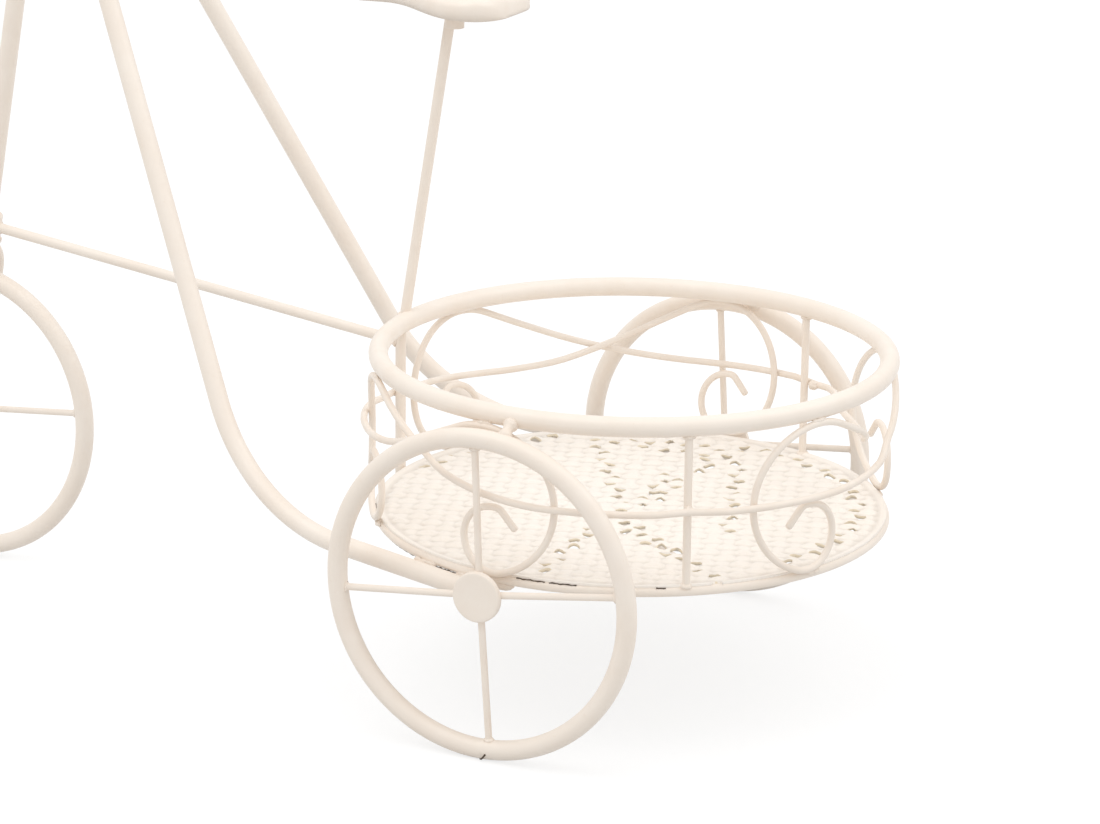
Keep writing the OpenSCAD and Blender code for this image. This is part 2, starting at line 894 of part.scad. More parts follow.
module axle_nuts() {
    color(steel)
        at_front_wheel()
            for (side = [0, 1]) {
                mirror([0, 0, side])
                    translate([0, 0, fork_half + fork_d / 2])
                        difference() {
                            union() {
                                cylinder(h = nut_h, d = nut_w / cos(30), $fn = 6);
                                translate([0, 0, nut_h])
                                    cylinder(h = 2.5, d = nut_w * 0.86);
                            }
                            translate([0, 0, -1])
                                cylinder(h = nut_h + 2 + run_play, d = pin_d + 2 * run_play);
                        }
            }
}

module axle_spacers() {
    color(steel)
        at_front_wheel()
            for (side = [0, 1]) {
                mirror([0, 0, side])
                    translate([0, 0, hub_len / 2 + end_play])
                        difference() {
                            cylinder(h = spacer_t, d = pin_d + 4);
                            translate([0, 0, -spacer_t])
                                cylinder(h = 3 * spacer_t, d = pin_d + 2 * run_play);
                        }
            }
}

module front_rim() {
    color(steel)
        at_front_wheel()
            tube_ring(rim_r, rim_d);
}

module front_spokes() {
    color(steel)
        at_front_wheel()
            spokes(hub_d);
}

module front_hub() {
    color(steel)
        at_front_wheel()
            difference() {
                union() {
                    cylinder(h = hub_len, d = hub_d, center = true);
                    for (side = [0, 1]) {
                        mirror([0, 0, side])
                            translate([0, 0, hub_len / 2 - flange_t])
                                cylinder(h = flange_t, d = disc_d);
                    }
                }
                cylinder(h = 2 * hub_len, d = pin_d + 2 * run_play, center = true);
            }
}

top_ring();
floor_ring();
floor_sheet();
wall_posts();
front_upright();
front_scroll_wire();
near_scroll_wire();
far_scroll_wire();
rear_axle();
near_rim();
near_spokes();
near_hub_disc();
far_rim();
far_spokes();
far_hub_disc();
wheel_lugs();
near_frame_tube();
far_frame_tube();
brace_rod();
seat_post();
saddle();
saddle_socket();
head_sleeve();
lower_sleeve();
steering_column();
fork();
stem_clamp();
clamp_bolt();
handlebar();
near_grip();
far_grip();
upper_washer();
lower_washer();
front_axle();
axle_nuts();
axle_spacers();
front_rim();
front_spokes();
front_hub();
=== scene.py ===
"""Looks of a tricycle-shaped plant stand: paint, welds, woven floor sheet, saddle, grips, floor and light.

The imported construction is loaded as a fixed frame. Every piece here is made in metres in that frame:
+X runs to the stand's rear, -Y is its near side and +Z is up, with the ground at zero.
"""

import json
import logging
import math
from dataclasses import dataclass
from enum import Enum
from typing import Iterable, Optional, Sequence

import bmesh
import bpy
from mathutils import Matrix, Vector


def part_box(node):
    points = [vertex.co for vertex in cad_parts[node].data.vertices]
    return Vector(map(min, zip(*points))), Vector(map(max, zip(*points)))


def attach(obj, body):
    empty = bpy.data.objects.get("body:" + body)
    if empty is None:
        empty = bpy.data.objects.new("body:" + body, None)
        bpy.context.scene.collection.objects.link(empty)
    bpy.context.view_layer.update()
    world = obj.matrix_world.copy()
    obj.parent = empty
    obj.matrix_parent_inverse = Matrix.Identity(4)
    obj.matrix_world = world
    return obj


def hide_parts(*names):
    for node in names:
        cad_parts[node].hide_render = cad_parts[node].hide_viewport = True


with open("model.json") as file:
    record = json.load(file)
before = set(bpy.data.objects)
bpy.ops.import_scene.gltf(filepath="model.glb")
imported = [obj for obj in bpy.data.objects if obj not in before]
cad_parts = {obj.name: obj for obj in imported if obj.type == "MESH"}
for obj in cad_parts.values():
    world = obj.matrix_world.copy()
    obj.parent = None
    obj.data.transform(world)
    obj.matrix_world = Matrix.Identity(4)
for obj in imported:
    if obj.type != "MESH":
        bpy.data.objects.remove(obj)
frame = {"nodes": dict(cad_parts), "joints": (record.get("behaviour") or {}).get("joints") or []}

LOG = logging.getLogger("plant_stand")
SPOKES = ("near_spokes", "far_spokes", "front_spokes")

Socket = bpy.types.NodeSocket
Material = bpy.types.Material
Mesh = bpy.types.Mesh
NodeTree = bpy.types.NodeTree
Sockets = bpy.types.bpy_prop_collection

PIN_GAP = 0.00006
UP = Vector((0.0, 0.0, 1.0))
TO_FAR = Vector((0.0, 1.0, 0.0))
TO_REAR = Vector((1.0, 0.0, 0.0))


class Side(Enum):
    """The two sides of the stand, with the sign of their Y coordinate."""

    NEAR = -1.0
    FAR = 1.0


class Slot(Enum):
    """The record's material slots."""

    PAINT = "cream_paint"
    GRIP = "grip"


class Body(Enum):
    """The bodies that the stand's pieces ride on."""

    STAND = "stand"
    STEERING = "steering"
    WHEEL = "front_wheel"


def smooth_step(value: float) -> float:
    """Returns value eased from 0 to 1, and held at those ends outside them."""
    held = min(1.0, max(0.0, value))
    return held * held * (3.0 - 2.0 * held)


def polar(radius: float, degrees: float) -> Vector:
    """Returns the flat vector of that length and angle."""
    return Vector((radius * math.cos(math.radians(degrees)), radius * math.sin(math.radians(degrees))))


def on_wheel(degrees: float) -> Vector:
    """Returns the direction in a wheel's plane at that angle, counted from the rear."""
    flat = polar(1.0, degrees)
    return Vector((flat.x, 0.0, flat.y))


def spread(first: float, last: float, count: int) -> list:
    """Returns count + 1 evenly spread values from first to last."""
    return [first + (last - first) * step / count for step in range(count + 1)]


# Places and sizes


def span(node: str, axis: int) -> float:
    """Returns the length of a node's box along an axis, 0 to 2."""
    low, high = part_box(node)
    return high[axis] - low[axis]


def middle(node: str, axis: int) -> float:
    """Returns the middle of a node's box along an axis, 0 to 2."""
    low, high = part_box(node)
    return (low[axis] + high[axis]) / 2


@dataclass(frozen=True)
class Layout:
    """Places and sizes that the construction's nodes give, in metres.

    Attributes:
        basket_x: where the basket's middle lies along the stand.
        ring_z: height of the top ring's middle.
        ring_r: radius of the rings, to the middle of their tube.
        ring_d: tube diameter of the top ring.
        floor_z: height of the floor ring's middle.
        floor_d: rod diameter of the floor ring.
        wheel_x: where the rear wheels' middle lies along the stand.
        wheel_y: distance of a rear wheel's plane from the middle.
        axle_z: height of the axles.
        rim_r: radius of a rim, to the middle of its tube.
        rim_d: tube diameter of a rim.
        hub: middle of the front wheel.
        steer_axis: direction of the steering axis, upwards.
    """

    basket_x: float
    ring_z: float
    ring_r: float
    ring_d: float
    floor_z: float
    floor_d: float
    wheel_x: float
    wheel_y: float
    axle_z: float
    rim_r: float
    rim_d: float
    hub: Vector
    steer_axis: Vector

    @classmethod
    def measured(cls, joints: Sequence[dict]) -> "Layout":
        """Reads the layout from the frame's nodes and joints.

        Args:
            joints: the frame's joints, of which the steering joint gives the axis.

        Returns:
            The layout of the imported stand.
        """
        ring_d, rim_d = span("top_ring", 2), span("near_rim", 1)
        steering = next(joint for joint in joints if joint["child"] == Body.STEERING.value)
        return cls(
            basket_x=middle("top_ring", 0),
            ring_z=middle("top_ring", 2),
            ring_r=(span("top_ring", 0) - ring_d) / 2,
            ring_d=ring_d,
            floor_z=middle("floor_ring", 2),
            floor_d=span("floor_ring", 2),
            wheel_x=middle("near_rim", 0),
            wheel_y=-middle("near_rim", 1),
            axle_z=middle("near_rim", 2),
            rim_r=(span("near_rim", 0) - rim_d) / 2,
            rim_d=rim_d,
            hub=Vector(steering["pos_m"]),
            steer_axis=Vector(steering["axis"]).normalized(),
        )

    def place(self, forward: float, near: float, up: float) -> Vector:
        """Returns a place given forward of the basket's middle, towards the near side, and up."""
        return Vector((self.basket_x - forward, -near, up))

    def round_place(self, turn: float, radius: float, up: float) -> Vector:
        """Returns a place on a circle round the basket; turn 0 is its front, 90 its near side."""
        flat = polar(radius, turn)
        return self.place(flat.x, flat.y, up)

    def on_steering(self, along: float, back: float = 0.0, side: float = 0.0) -> Vector:
        """Returns a place on the steering axis, given from the front hub upwards.

        Args:
            along: distance up the axis from the hub.
            back: distance to the rear, square to the axis.
            side: distance towards the far side.

        Returns:
            The place in the stand's frame.
        """
        return self.hub + along * self.steer_axis + back * self.rearwards + side * TO_FAR

    @property
    def rearwards(self) -> Vector:
        """Returns the direction square to the steering axis that points to the rear."""
        return TO_FAR.cross(self.steer_axis)

    def on_axis(self, node: str) -> tuple:
        """Measures a round node whose middle line is the steering axis.

        Args:
            node: the node.

        Returns:
            Its start, measured up the axis from the hub, its length and its radius.
        """
        low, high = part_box(node)
        radius = span(node, 1) / 2
        length = (span(node, 2) - 2.0 * radius * self.steer_axis.x) / self.steer_axis.z
        return ((low + high) / 2 - self.hub).dot(self.steer_axis) - length / 2, length, radius


# Node trees

SOCKET_TYPES = {float: "Float", int: "Int", tuple: "Color"}


class Tree:
    """A node tree with short ways to add and link nodes."""

    def __init__(self, data: NodeTree) -> None:
        """Keeps Blender's tree."""
        self.data = data

    def add(self, kind: str, values: Optional[dict] = None, **options: object) -> bpy.types.Node:
        """Adds a node.

        Args:
            kind: Blender's name of the node type.
            values: values, source sockets or source nodes, by input name or number.
            **options: properties of the node.

        Returns:
            The new node.
        """
        node = self.data.nodes.new(kind)
        for name, value in options.items():
            setattr(node, name, value)
        self.fill(node.inputs, values or {})
        return node

    def fill(self, sockets: Sockets, values: dict) -> None:
        """Links or sets input sockets.

        Args:
            sockets: the input sockets.
            values: values, source sockets or source nodes, which stand for their first output, by name or number.
        """
        for key, value in values.items():
            source = value.outputs[0] if isinstance(value, bpy.types.Node) else value
            if isinstance(source, Socket):
                self.data.links.new(source, sockets[key])
            else:
                sockets[key].default_value = source

    def math(self, operation: str, *terms: object) -> Socket:
        """Adds a math node.

        Args:
            operation: the node's operation.
            *terms: numbers, sockets or nodes.

        Returns:
            The result socket.
        """
        return self.add("ShaderNodeMath", dict(enumerate(terms)), operation=operation).outputs[0]

    def ramp(self, source: object, low: float, high: float, to_low: float = 0.0, to_high: float = 1.0) -> Socket:
        """Maps a range of values to another one and holds them at its ends.

        Args:
            source: the socket or node that is mapped.
            low: value that becomes to_low.
            high: value that becomes to_high.
            to_low: the result at low.
            to_high: the result at high.

        Returns:
            The result socket.
        """
        values = {0: source, 1: low, 2: high, 3: to_low, 4: to_high}
        return self.add("ShaderNodeMapRange", values, clamp=True).outputs[0]

    def noise(self, vector: Socket, scale: object, detail: float = 2.0, roughness: float = 0.5) -> Socket:
        """Adds a noise texture and returns its value."""
        values = {"Vector": vector, "Scale": scale, "Detail": detail, "Roughness": roughness}
        return self.add("ShaderNodeTexNoise", values).outputs[0]

    def mix_colour(self, factor: object, first: object, second: object) -> Socket:
        """Mixes two colours.

        Args:
            factor: share of the second colour.
            first: the colour at factor 0.
            second: the colour at factor 1.

        Returns:
            The colour socket.
        """
        return self.add("ShaderNodeMix", {0: factor, 6: first, 7: second}, data_type="RGBA").outputs[2]


def group_tree(name: str, kind: str, inputs: dict, outputs: dict) -> tuple:
    """Makes an empty node group with named sockets.

    Args:
        name: the group's name.
        kind: the tree's type.
        inputs: default value of each input, or the name of its socket type.
        outputs: name of each output's socket type.

    Returns:
        The tree, the sockets that the group is given and the sockets of its result.
    """
    data = bpy.data.node_groups.new(name, kind)
    for label, value in inputs.items():
        socket_type = value if isinstance(value, str) else SOCKET_TYPES[type(value)]
        socket = data.interface.new_socket(label, in_out="INPUT", socket_type="NodeSocket" + socket_type)
        if not isinstance(value, str):
            socket.default_value = value
    for label, socket_type in outputs.items():
        data.interface.new_socket(label, in_out="OUTPUT", socket_type="NodeSocket" + socket_type)
    return Tree(data), data.nodes.new("NodeGroupInput").outputs, data.nodes.new("NodeGroupOutput").inputs


# Shader groups


class ShaderGroups:
    """Effects that more than one finish uses, each made once."""

    def __init__(self) -> None:
        """Makes the groups."""
        self.skin = self._paint_skin()
        self.specks = self._bare_specks()
        self.threads = self._woven_threads()

    def _paint_skin(self) -> NodeTree:
        """Makes the group for sprayed paint: mottled tone, soft runs, fine peel and uneven gloss.

        Returns:
            The group's tree.
        """
        sockets = {"Place": "Vector", "Tone": (0.9, 0.8, 0.7, 1.0), "Shade": (0.7, 0.6, 0.5, 1.0)}
        sockets |= {"Mottle": 0.3, "Gloss": 0.4, "Peel": 0.3}
        outputs = {"Colour": "Color", "Roughness": "Float", "Height": "Float"}
        tree, given, result = group_tree("sprayed_paint", "ShaderNodeTree", sockets, outputs)
        place = given["Place"]
        broad = tree.noise(place, 16.0, 3.0, 0.55)
        cloud = tree.noise(place, 70.0, 3.0, 0.6)
        peel = tree.noise(place, 900.0, 2.0, 0.6)
        runs = tree.noise(tree.add("ShaderNodeMapping", {"Vector": place, "Scale": (1.0, 1.0, 0.35)}), 170.0)
        patch = tree.math("ADD", tree.math("MULTIPLY", broad, 0.6), tree.math("MULTIPLY", cloud, 0.4))
        share = tree.math("MULTIPLY", tree.ramp(patch, 0.4, 0.66), given["Mottle"])
        colour = tree.mix_colour(share, given["Tone"], given["Shade"])
        dust = tree.ramp(tree.noise(place, 420.0, 1.0), 0.7, 0.78, 0.0, 0.22)
        colour = tree.mix_colour(dust, colour, given["Shade"])
        gloss = tree.math("ADD", given["Gloss"], tree.ramp(cloud, 0.3, 0.7, -0.06, 0.09))
        fine = tree.math("MULTIPLY", peel, given["Peel"])
        height = tree.math("ADD", fine, tree.math("MULTIPLY", runs, 0.8))
        tree.fill(result, {"Colour": colour, "Roughness": gloss, "Height": height})
        return tree.data

    def _bare_specks(self) -> NodeTree:
        """Makes the group for pinholes and crevices that the paint left dark, and a weld's ripples.

        Returns:
            The group's tree.
        """
        sockets = {"Place": "Vector", "Grain": 420.0, "Amount": 0.3}
        outputs = {"Mask": "Float", "Height": "Float"}
        tree, given, result = group_tree("bare_specks", "ShaderNodeTree", sockets, outputs)
        place = given["Place"]
        spots = tree.noise(place, given["Grain"], 3.0, 0.65)
        edge = tree.math("SUBTRACT", 0.78, tree.math("MULTIPLY", given["Amount"], 0.2))
        above = tree.math("MULTIPLY", tree.math("SUBTRACT", spots, edge), 18.0)
        mask = tree.math("MINIMUM", 1.0, tree.math("MAXIMUM", 0.0, above))
        cells = tree.add("ShaderNodeTexVoronoi", {"Vector": place, "Scale": 850.0})
        tree.fill(result, {"Mask": mask, "Height": tree.math("SUBTRACT", cells.outputs["Distance"], mask)})
        return tree.data

    def _woven_threads(self) -> NodeTree:
        """Makes the group for the fine threads pressed into the floor sheet's woven bumps.

        Returns:
            The group's tree.
        """
        sockets = {"Place": "Vector", "Threads": 4400.0, "Turn": 20.0}
        tree, given, result = group_tree("woven_threads", "ShaderNodeTree", sockets, {"Height": "Float"})
        axis = tree.add("ShaderNodeSeparateXYZ", {0: given["Place"]})
        turn = tree.math("RADIANS", given["Turn"])
        across = tree.math(
            "SUBTRACT",
            tree.math("MULTIPLY", axis.outputs[1], tree.math("COSINE", turn)),
            tree.math("MULTIPLY", axis.outputs[0], tree.math("SINE", turn)),
        )
        waver = tree.math("MULTIPLY", tree.noise(given["Place"], 130.0), 2.4)
        phase = tree.math("ADD", tree.math("MULTIPLY", across, given["Threads"]), waver)
        tree.fill(result, {"Height": tree.math("SINE", phase)})
        return tree.data


# Finishes


@dataclass(frozen=True)
class Finish:
    """Sprayed cream paint on steel, or moulded plastic.

    Attributes:
        name: the material's name.
        tone: linear colour of the surface.
        shade: linear colour of its warmer patches.
        mottle: how strongly the patches show.
        roughness: roughness of the surface.
        specular: strength of its plain reflection.
        coat: weight of the glossy top layer.
        peel: strength of the fine orange peel.
        bump: depth of the surface's unevenness, in metres.
        bare: how many dark pinholes show, 0 for none.
        relief_attribute: name of a mesh attribute that is low in hollows, where painted shade darkens the colour, or
            nothing.
        thread_turn: turn of woven threads in degrees, or nothing where there are none.
    """

    name: str
    tone: tuple = (0.925, 0.838, 0.748)
    shade: tuple = (0.84, 0.712, 0.595)
    mottle: float = 0.35
    roughness: float = 0.42
    specular: float = 0.5
    coat: float = 0.18
    peel: float = 0.35
    bump: float = 0.00016
    bare: float = 0.0
    relief_attribute: str = ""
    thread_turn: Optional[float] = None

    COAT_ROUGHNESS = 0.22
    BARE_STEEL = (0.075, 0.055, 0.04, 1.0)

    def material(self, groups: ShaderGroups) -> Material:
        """Makes the material.

        Args:
            groups: the shared shader groups.

        Returns:
            The material, with its colour, gloss and height from nodes.
        """
        made = bpy.data.materials.new(self.name)
        made.use_nodes = True
        tree = Tree(made.node_tree)
        shader = made.node_tree.nodes["Principled BSDF"]
        shader.inputs["Coat Weight"].default_value = self.coat
        shader.inputs["Coat Roughness"].default_value = self.COAT_ROUGHNESS
        shader.inputs["Specular IOR Level"].default_value = self.specular
        place = tree.add("ShaderNodeTexCoord").outputs["Object"]
        values = {"Place": place, "Tone": (*self.tone, 1.0), "Shade": (*self.shade, 1.0)}
        values |= {"Mottle": self.mottle, "Gloss": self.roughness, "Peel": self.peel}
        skin = tree.add("ShaderNodeGroup", values, node_tree=groups.skin)
        colour, height = skin.outputs["Colour"], skin.outputs["Height"]
        # Painted shade: a darker, warmer colour in the hollows of the pressed relief.
        if self.relief_attribute:
            colour = self._painted_hollow_shade(tree, colour)
        if self.thread_turn is not None:
            threads = tree.add("ShaderNodeGroup", {"Place": place, "Turn": self.thread_turn}, node_tree=groups.threads)
            height = tree.math("ADD", height, tree.math("MULTIPLY", threads.outputs["Height"], 0.5))
        if self.bare > 0.0:
            specks = tree.add("ShaderNodeGroup", {"Place": place, "Amount": self.bare}, node_tree=groups.specks)
            colour = tree.mix_colour(specks.outputs["Mask"], colour, self.BARE_STEEL)
            height = tree.math("ADD", height, tree.math("MULTIPLY", specks.outputs["Height"], 0.8))
        bump = tree.add("ShaderNodeBump", {"Height": height, "Distance": self.bump, "Strength": 1.0})
        tree.fill(shader.inputs, {"Base Color": colour, "Roughness": skin.outputs["Roughness"], "Normal": bump})
        return made

    def _painted_hollow_shade(self, tree: Tree, colour: Socket) -> Socket:
        """Paints shade into a colour: warmer and darker where the relief attribute is low, as in the weave's hollows.

        Args:
            tree: the material's tree.
            colour: the colour.

        Returns:
            The colour with the painted shade.
        """
        relief = tree.add("ShaderNodeAttribute", attribute_name=self.relief_attribute)
        painted_shade = tree.ramp(relief.outputs["Fac"], 0.0, 0.46, 0.56, 0.0)
        return tree.mix_colour(painted_shade, colour, (*(channel * 0.66 for channel in self.shade), 1.0))


class Palette:
    """All finishes of the stand as materials."""

    def __init__(self) -> None:
        """Makes the materials from their finishes."""
        groups = ShaderGroups()
        self.paint = Finish("cream_tube_paint").material(groups)
        self.rod_paint = Finish("cream_rod_paint", mottle=0.5, roughness=0.46, bump=0.00012).material(groups)
        self.weld = Finish(
            "painted_weld", mottle=0.7, roughness=0.5, coat=0.1, peel=0.8, bump=0.0003, bare=0.35
        ).material(groups)
        # The sheet's tone is lighter and more neutral than the tube paint's: painted light, for the light that falls on
        # its upward face.
        self.sheet = Finish(
            "woven_sheet_paint",
            (0.965, 0.905, 0.835),
            (0.90, 0.79, 0.68),
            mottle=0.25,
            roughness=0.5,
            coat=0.08,
            bump=0.00012,
            relief_attribute="relief",
            thread_turn=20.0,
        ).material(groups)
        # A darker, warmer cream for the eyelets' cut walls: painted shade inside the holes, with a few dark pinholes.
        self.shaded_eyelet_wall = Finish(
            "shaded_eyelet_wall", (0.90, 0.80, 0.64), (0.78, 0.66, 0.48), mottle=0.7, roughness=0.7, coat=0.0, bare=0.06
        ).material(groups)
        # Nearly black lines: painted shade in the crevices at the floor sheet, the floor ring and a frame tube, and the
        # dark butt joint of the near rim.
        self.dark_joint_and_crevice_shade = Finish(
            "dark_joint_and_crevice_shade", (0.055, 0.036, 0.024), (0.14, 0.085, 0.045), mottle=0.8, roughness=0.65, coat=0.0
        ).material(groups)
        self.fastener = Finish("painted_fastener", mottle=0.5, roughness=0.36, coat=0.3, bare=0.12).material(groups)
        self.grip = Finish(
            "grip_plastic", (0.74, 0.61, 0.47), (0.62, 0.49, 0.36), 0.6, 0.58, 0.4, coat=0.0, peel=0.9, bump=0.0002
        ).material(groups)


# Meshes


class Workshop:
    """Makes meshes and turns them into finished pieces."""

    def __init__(self, palette: Palette) -> None:
        """Makes the geometry trees.

        Args:
            palette: the finishes.
        """
        self.palette = palette
        self.tube_tree = self._tube_tree()
        self.bead_tree = self._bead_tree()
        self.rib_tree = self._rib_tree()
        self.weave_tree = self._weave_tree()

    def piece(
        self, name: str, mesh: Mesh, body: Body, material: Material, replaces: str = "", slot: Slot = Slot.PAINT
    ) -> bpy.types.Object:
        """Links a mesh as a piece that rides on a body.

        Args:
            name: the piece's name.
            mesh: its mesh, in place.
            body: the body that it rides on.
            material: its material.
            replaces: the node of the construction that it stands for, or nothing.
            slot: not used.

        Returns:
            The piece.
        """
        made = bpy.data.objects.new(name, mesh)
        bpy.context.scene.collection.objects.link(made)
        mesh.materials.clear()
        mesh.materials.append(material)
        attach(made, body.value)
        if replaces:
            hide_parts(replaces)
        LOG.info("%s: %d faces, rides on %s", name, len(mesh.polygons), body.value)
        return made

    def grown(self, name: str, mesh: Mesh, tree: NodeTree, inputs: dict) -> Mesh:
        """Runs a geometry tree on a mesh and returns the plain mesh that it makes.

        Args:
            name: the new mesh's name.
            mesh: the mesh that the tree starts from.
            tree: the geometry tree.
            inputs: values of the tree's inputs, by name.

        Returns:
            The evaluated mesh.
        """
        holder = bpy.data.objects.new(name + "_source", mesh)
        bpy.context.scene.collection.objects.link(holder)
        modifier = holder.modifiers.new("grow", "NODES")
        modifier.node_group = tree
        sockets = {item.name: item.identifier for item in tree.interface.items_tree if item.in_out == "INPUT"}
        for label, value in inputs.items():
            modifier[sockets[label]] = value
        bpy.context.view_layer.update()
        evaluated = holder.evaluated_get(bpy.context.evaluated_depsgraph_get())
        made = bpy.data.meshes.new_from_object(evaluated)
        made.name = name
        holder.modifiers.remove(modifier)
        bpy.data.objects.remove(holder)
        return made

    def tubes(self, name: str, routes: Sequence[Sequence[tuple]], material: Material, sides: int) -> Mesh:
        """Sweeps round tubes along routes.

        Args:
            name: the mesh's name.
            routes: for each tube, its points as place and radius.
            material: the tubes' material.
            sides: number of sides of a tube.

        Returns:
            The mesh of all the tubes.
        """
        places: list = []
        radii: list = []
        edges: list = []
        for route in routes:
            start = len(places)
            places.extend(place for place, _ in route)
            radii.extend(radius for _, radius in route)
            edges.extend((start + i, start + i + 1) for i in range(len(route) - 1))
        line = bpy.data.meshes.new(name + "_route")
        line.from_pydata(places, edges, [])
        line.attributes.new("thickness", "FLOAT", "POINT").data.foreach_set("value", radii)
        return self.grown(name, line, self.tube_tree, {"Sides": sides, "Finish": material})

    def beads(self, name: str, welds: Sequence["Weld"], seed: int) -> Mesh:
        """Grows a weld bead at each weld.

        Args:
            name: the mesh's name.
            welds: the welds.
            seed: seed of the beads' unevenness.

        Returns:
            The mesh of all the beads.
        """
        points = bpy.data.meshes.new(name + "_points")
        points.from_pydata([weld.place for weld in welds], [], [])
        for label, values in (
            ("bead_axis", [component for weld in welds for component in weld.axis]),
            ("bead_size", [component for weld in welds for component in (weld.across, weld.across, weld.along)]),
        ):
            points.attributes.new(label, "FLOAT_VECTOR", "POINT").data.foreach_set("vector", values)
        return self.grown(name, points, self.bead_tree, {"Seed": seed, "Finish": self.palette.weld})

    def lathe(self, name: str, profile: Sequence[tuple], axis: Vector, foot: Vector, sides: int) -> Mesh:
        """Turns a profile about an axis.

        Args:
            name: the mesh's name.
            profile: radius and height of each point of a closed outline or of an outline from pole to pole.
            axis: direction of the axis.
            foot: the place where height is zero.
            sides: number of steps round the axis.

        Returns:
            The closed mesh, with its faces outwards.
        """
        shape = bmesh.new()
        rings: list = []
        for radius, height in profile:
            count = sides if radius > 0.0 else 1
            rings.append([shape.verts.new((*polar(radius, 360.0 * step / sides), height)) for step in range(count)])
        if len(rings[0]) > 1 and len(rings[-1]) > 1:
            rings.append(rings[0])
        for lower, upper in zip(rings, rings[1:]):
            for step in range(sides):
                after = (step + 1) % sides
                places = ((lower, step), (lower, after), (upper, after), (upper, step))
                face = list(dict.fromkeys(ring[place % len(ring)] for ring, place in places))
                if len(face) > 2:
                    shape.faces.new(face)
        return self.finished(name, self.stood(shape, axis, foot))

    def stood(self, shape: bmesh.types.BMesh, axis: Vector, foot: Vector) -> bmesh.types.BMesh:
        """Turns an upright shape to another axis and sets it on its foot.

        Args:
            shape: the shape, which stands on its origin.
            axis: its new direction.
            foot: the new place of its origin.

        Returns:
            The same shape.
        """
        turn = UP.rotation_difference(axis).to_matrix().to_4x4()
        bmesh.ops.transform(shape, matrix=Matrix.Translation(foot) @ turn, verts=shape.verts)
        return shape

    def finished(self, name: str, shape: bmesh.types.BMesh, crease: float = 32.0) -> Mesh:
        """Closes a bmesh as a smooth mesh with sharp edges kept.

        Args:
            name: the mesh's name.
            shape: the bmesh, which is freed.
            crease: angle in degrees past which an edge stays sharp.

        Returns:
            The mesh.
        """
        bmesh.ops.remove_doubles(shape, verts=shape.verts, dist=1e-7)
        bmesh.ops.recalc_face_normals(shape, faces=shape.faces)
        for face in shape.faces:
            face.smooth = True
        for edge in shape.edges:
            edge.smooth = len(edge.link_faces) < 2 or edge.calc_face_angle(0.0) < math.radians(crease)
        made = bpy.data.meshes.new(name)
        shape.to_mesh(made)
        shape.free()
        return made

    def hex_head(self, name: str, radius: float, height: float, axis: Vector, foot: Vector) -> Mesh:
        """Makes a six-sided head with a chamfered, slightly domed top.

        Args:
            name: the mesh's name.
            radius: distance from the middle to a corner.
            height: height of the head.
            axis: direction that it faces.
            foot: middle of its seat.

        Returns:
            The mesh.
        """
        shape = bmesh.new()
        rings = []
        for scale, level in ((1.0, 0.0), (1.0, height * 0.74), (0.86, height * 0.95), (0.5, height)):
            rings.append([shape.verts.new((*polar(radius * scale, 60.0 * step), level)) for step in range(6)])
        for lower, upper in zip(rings, rings[1:]):
            for step in range(6):
                after = (step + 1) % 6
                shape.faces.new((lower[step], lower[after], upper[after], upper[step]))
        shape.faces.new(rings[-1])
        shape.faces.new(rings[0][::-1])
        edges = [edge for edge in shape.edges if edge.calc_face_angle(0.0) > math.radians(25.0)]
        bmesh.ops.bevel(shape, geom=edges, offset=radius * 0.05, segments=2, affect="EDGES", profile=0.6)
        return self.finished(name, self.stood(shape, axis, foot))

    def _geometry_group(self, name: str, inputs: dict) -> tuple:
        """Makes a geometry tree like group_tree, with a Geometry and a Finish input."""
        sockets = {"Geometry": "Geometry", **inputs, "Finish": "Material"}
        return group_tree(name, "GeometryNodeTree", sockets, {"Geometry": "Geometry"})

    def _close(self, tree: Tree, given: Sockets, result: Sockets, geometry: bpy.types.Node) -> NodeTree:
        """Ends a geometry tree in real, smooth, finished faces.

        Args:
            tree: the tree.
            given: the sockets that it is given.
            result: the sockets of its result.
            geometry: the geometry so far.

        Returns:
            Blender's tree.
        """
        real = tree.add("GeometryNodeRealizeInstances", {0: geometry})
        soft = tree.add("GeometryNodeSetShadeSmooth", {0: real})
        dressed = tree.add("GeometryNodeSetMaterial", {"Geometry": soft, "Material": given["Finish"]})
        tree.fill(result, {0: dressed})
        return tree.data

    def _tube_tree(self) -> NodeTree:
        """Makes the tree that sweeps a round tube along each line, as thick as its points say.

        Returns:
            The tree.
        """
        tree, given, result = self._geometry_group("round_tube", {"Sides": 16})
        line = tree.add("GeometryNodeMeshToCurve", {0: given["Geometry"]})
        thickness = tree.add("GeometryNodeInputNamedAttribute", {"Name": "thickness"}, data_type="FLOAT")
        ring = tree.add("GeometryNodeCurvePrimitiveCircle", {"Resolution": given["Sides"], "Radius": 1.0})
        parts = {"Curve": line, "Profile Curve": ring, "Scale": thickness, "Fill Caps": True}
        tube = tree.add("GeometryNodeCurveToMesh", parts)
        return self._close(tree, given, result, tube)

